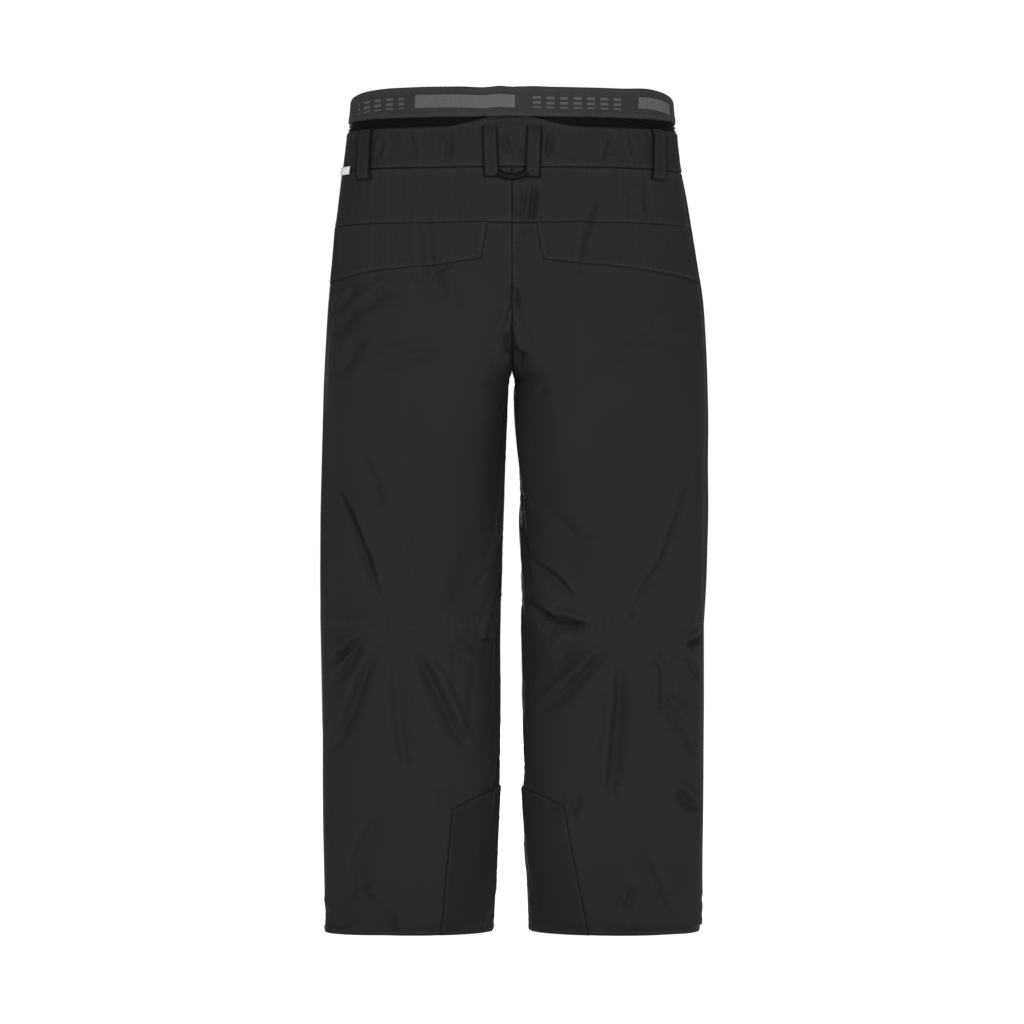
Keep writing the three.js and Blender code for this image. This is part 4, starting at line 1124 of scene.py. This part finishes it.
class BuildZips(bpy.types.Operator):
    """Build the zip tapes, coils and pocket bags, and finish the sliders and pullers"""

    bl_idname = "ski_pants.build_zips"
    bl_label = "Build zips"

    def execute(self, context):
        jobs = [("fly_zip", "", "hips")]
        for _, suffix in SIDES:
            jobs.append(("hand_pocket_zip", f"_{suffix}", "hips"))
            jobs.append(("thigh_vent_zip", f"_{suffix}", f"thigh_{suffix}"))
        for name, suffix, body in jobs:
            tape, coil = zip_pieces(name, suffix)
            for piece in (tape, coil):
                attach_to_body(piece, body)
            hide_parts(f"{name}_tape{suffix}")
        for side, suffix in SIDES:
            cloth_piece(f"pocket_bag_{suffix}", side, (0.589, 0.768), 0.108, 0.296, looks("lining"),
                        sided(["hand_pocket_bag"], suffix), lift=lambda s, t: -0.0040 - 0.0016 * np.sin(np.pi * t),
                        thickness=0.0016, sewn=("start", "end", "low"), pitch=0.005)
        for name, node in frame["nodes"].items():
            if "_slider" in name or "_puller" in name:
                node.data.materials.clear()
                node.data.materials.append(looks("plastic"))
        return {"FINISHED"}


def standing_piece(name, across, top, low, lifts, node):
    """A front flap: across is from its hinge to its free edge, lifts how far it stands off at each share."""
    shares = np.linspace(0, 1, 31)
    drops = spaced(top, low, 0.003)
    s, drop = np.meshgrid(shares, drops, indexing="ij")
    x = mix(across[0], across[1], s)
    shares = np.linspace(0, 0.2, 300)
    around = 1 - np.interp(np.abs(x), smooth_place(shares, np.full(300, 0.15))[:, 0], shares)
    lift = np.interp(s, lifts[0], lifts[1])
    point = smooth_place(around, drop)
    places = np.stack((x, point[..., 1] - lift - 0.0006 * rumple(x, drop, (0.02, 0.05), 51), -drop), -1)
    mesh = grid_mesh(name, places, flat_spots(places), ("start", "end", "top", "low"))
    if mesh.polygons[len(mesh.polygons) // 2].normal.y > 0:
        mesh.flip_normals()
    piece = new_object(name, mesh)
    mesh.materials.append(looks("shell"))
    thicken(piece, 0.0014)
    attach(piece, [node], node)


class BuildFly(bpy.types.Operator):
    """Build the fly placket and the waist tab, and finish the snap"""

    bl_idname = "ski_pants.build_fly"
    bl_label = "Build fly"

    def execute(self, context):
        stand = ((0, 0.12, 0.24, 0.78, 0.9, 1), (0.0028, 0.0085, 0.0112, 0.0112, 0.0080, 0.0030))
        standing_piece("placket_cloth", (0.026, -0.022), 0.1013, 0.2190, stand, "fly_placket")
        stand = ((0, 0.1, 0.2, 0.85, 0.95, 1), (0.0020, 0.0042, 0.0052, 0.0052, 0.0040, 0.0024))
        standing_piece("tab_cloth", (0.029, -0.027), 0.0520, 0.0920, stand, "waist_tab")
        for name in ("waist_snap_cap", "waist_snap_stud"):
            node = frame["nodes"][name]
            node.data.materials.clear()
            node.data.materials.append(looks("snap"))
        return {"FINISHED"}


class BuildStage(bpy.types.Operator):
    """Set the floor, softboxes, surround and camera"""

    bl_idname = "ski_pants.build_stage"
    bl_label = "Build stage"

    def execute(self, context):
        settings, scene = context.scene.ski_pants_stage, context.scene
        bm = bmesh.new()
        bmesh.ops.create_circle(bm, cap_ends=True, segments=96, radius=14,
                                matrix=Matrix.Translation((0, 0, CAD_BOX[0][2] - 0.0005)))
        mesh = bpy.data.meshes.new("floor")
        bm.to_mesh(mesh)
        bm.free()
        floor = new_object("floor", mesh)
        material, tree, shader = new_material("white painted floor")
        shader.inputs["Base Color"].default_value = linear("F4F4F4")
        shader.inputs["Roughness"].default_value = 0.9
        shader.inputs["Specular IOR Level"].default_value = 0.0
        shader.inputs["Emission Color"].default_value = (1, 1, 1, 1)
        seen = add_node(tree, "LightPath").outputs["Is Camera Ray"]
        tree.links.new(
            add_node(tree, "Math", {0: seen, 1: 0.5, 2: 0.32}, operation="MULTIPLY_ADD").outputs[0],
            shader.inputs["Emission Strength"]
        )
        mesh.materials.append(material)
        floor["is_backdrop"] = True
        for name, place, size in (("back", (0.9, 3.6, 2.2), 1.6), ("back low", (-1.2, 4.4, -0.2), 1.2),
                                  ("front", (-0.9, -3.6, 2.2), 1.6), ("front low", (1.2, -4.4, -0.2), 1.2)):
            light = bpy.data.lights.new(f"softbox {name}", "AREA")
            light.energy, light.size = settings.key_power, size
            lamp = bpy.data.objects.new(light.name, light)
            lamp.location = place
            lamp.rotation_euler = (Vector((0, 0, -0.5)) - Vector(place)).to_track_quat("-Z", "Y").to_euler()
            scene.collection.objects.link(lamp)
        world = bpy.data.worlds.new("surround")
        world.use_nodes = True
        tree = world.node_tree
        ground = tree.nodes["Background"]
        ground.inputs["Color"].default_value = (1, 1, 1, 1)
        seen = add_node(tree, "LightPath").outputs["Is Camera Ray"]
        strength = add_node(tree, "Math", {
            0: seen, 1: 1.05 - settings.surround, 2: settings.surround,
        }, operation="MULTIPLY_ADD")
        tree.links.new(strength.outputs[0], ground.inputs["Strength"])
        scene.world = world
        scene.view_settings.view_transform = "Standard"
        data = bpy.data.cameras.new("camera")
        data.lens, data.sensor_width = settings.lens, 36
        camera = bpy.data.objects.new("camera", data)
        camera.location = (0, settings.camera_distance, -HEM / 2)
        camera.rotation_euler = (math.pi / 2, 0, math.pi)
        scene.collection.objects.link(camera)
        scene.camera = camera
        return {"FINISHED"}


OPERATORS = (BuildStage, SettleCloth, BuildWaist, BuildLegs, BuildHems, BuildLoops, BuildFlaps, BuildZips, BuildFly)


class SkiPantsPanel(bpy.types.Panel):
    """Ski pants tools."""

    bl_idname = "VIEW3D_PT_ski_pants"
    bl_label = "Ski Pants"
    bl_space_type = "VIEW_3D"
    bl_region_type = "UI"
    bl_category = "Ski Pants"

    def draw(self, context):
        scene = context.scene
        for settings in (scene.ski_pants_cloth, scene.ski_pants_stage):
            box = self.layout.box()
            for name in settings.__annotations__:
                box.prop(settings, name)
        for operator in OPERATORS:
            self.layout.operator(operator.bl_idname)


CLASSES = (SkiPantsCloth, SkiPantsStage) + OPERATORS + (SkiPantsPanel,)


def register():
    """Registers the settings, operators and panel."""
    for cls in CLASSES:
        bpy.utils.register_class(cls)
    bpy.types.Scene.ski_pants_cloth = PointerProperty(type=SkiPantsCloth)
    bpy.types.Scene.ski_pants_stage = PointerProperty(type=SkiPantsStage)


def unregister():
    """Removes what register added."""
    del bpy.types.Scene.ski_pants_cloth
    del bpy.types.Scene.ski_pants_stage
    for cls in reversed(CLASSES):
        bpy.utils.unregister_class(cls)


def main():
    """Builds everything in order."""
    register()
    for operator in OPERATORS:
        name = operator.bl_idname.split(".")[1]
        getattr(bpy.ops.ski_pants, name)()
    {"cad": CAD_BOX, "visual": [list(map(float, corner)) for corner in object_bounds()]}


if __name__ == "__main__":
    main()
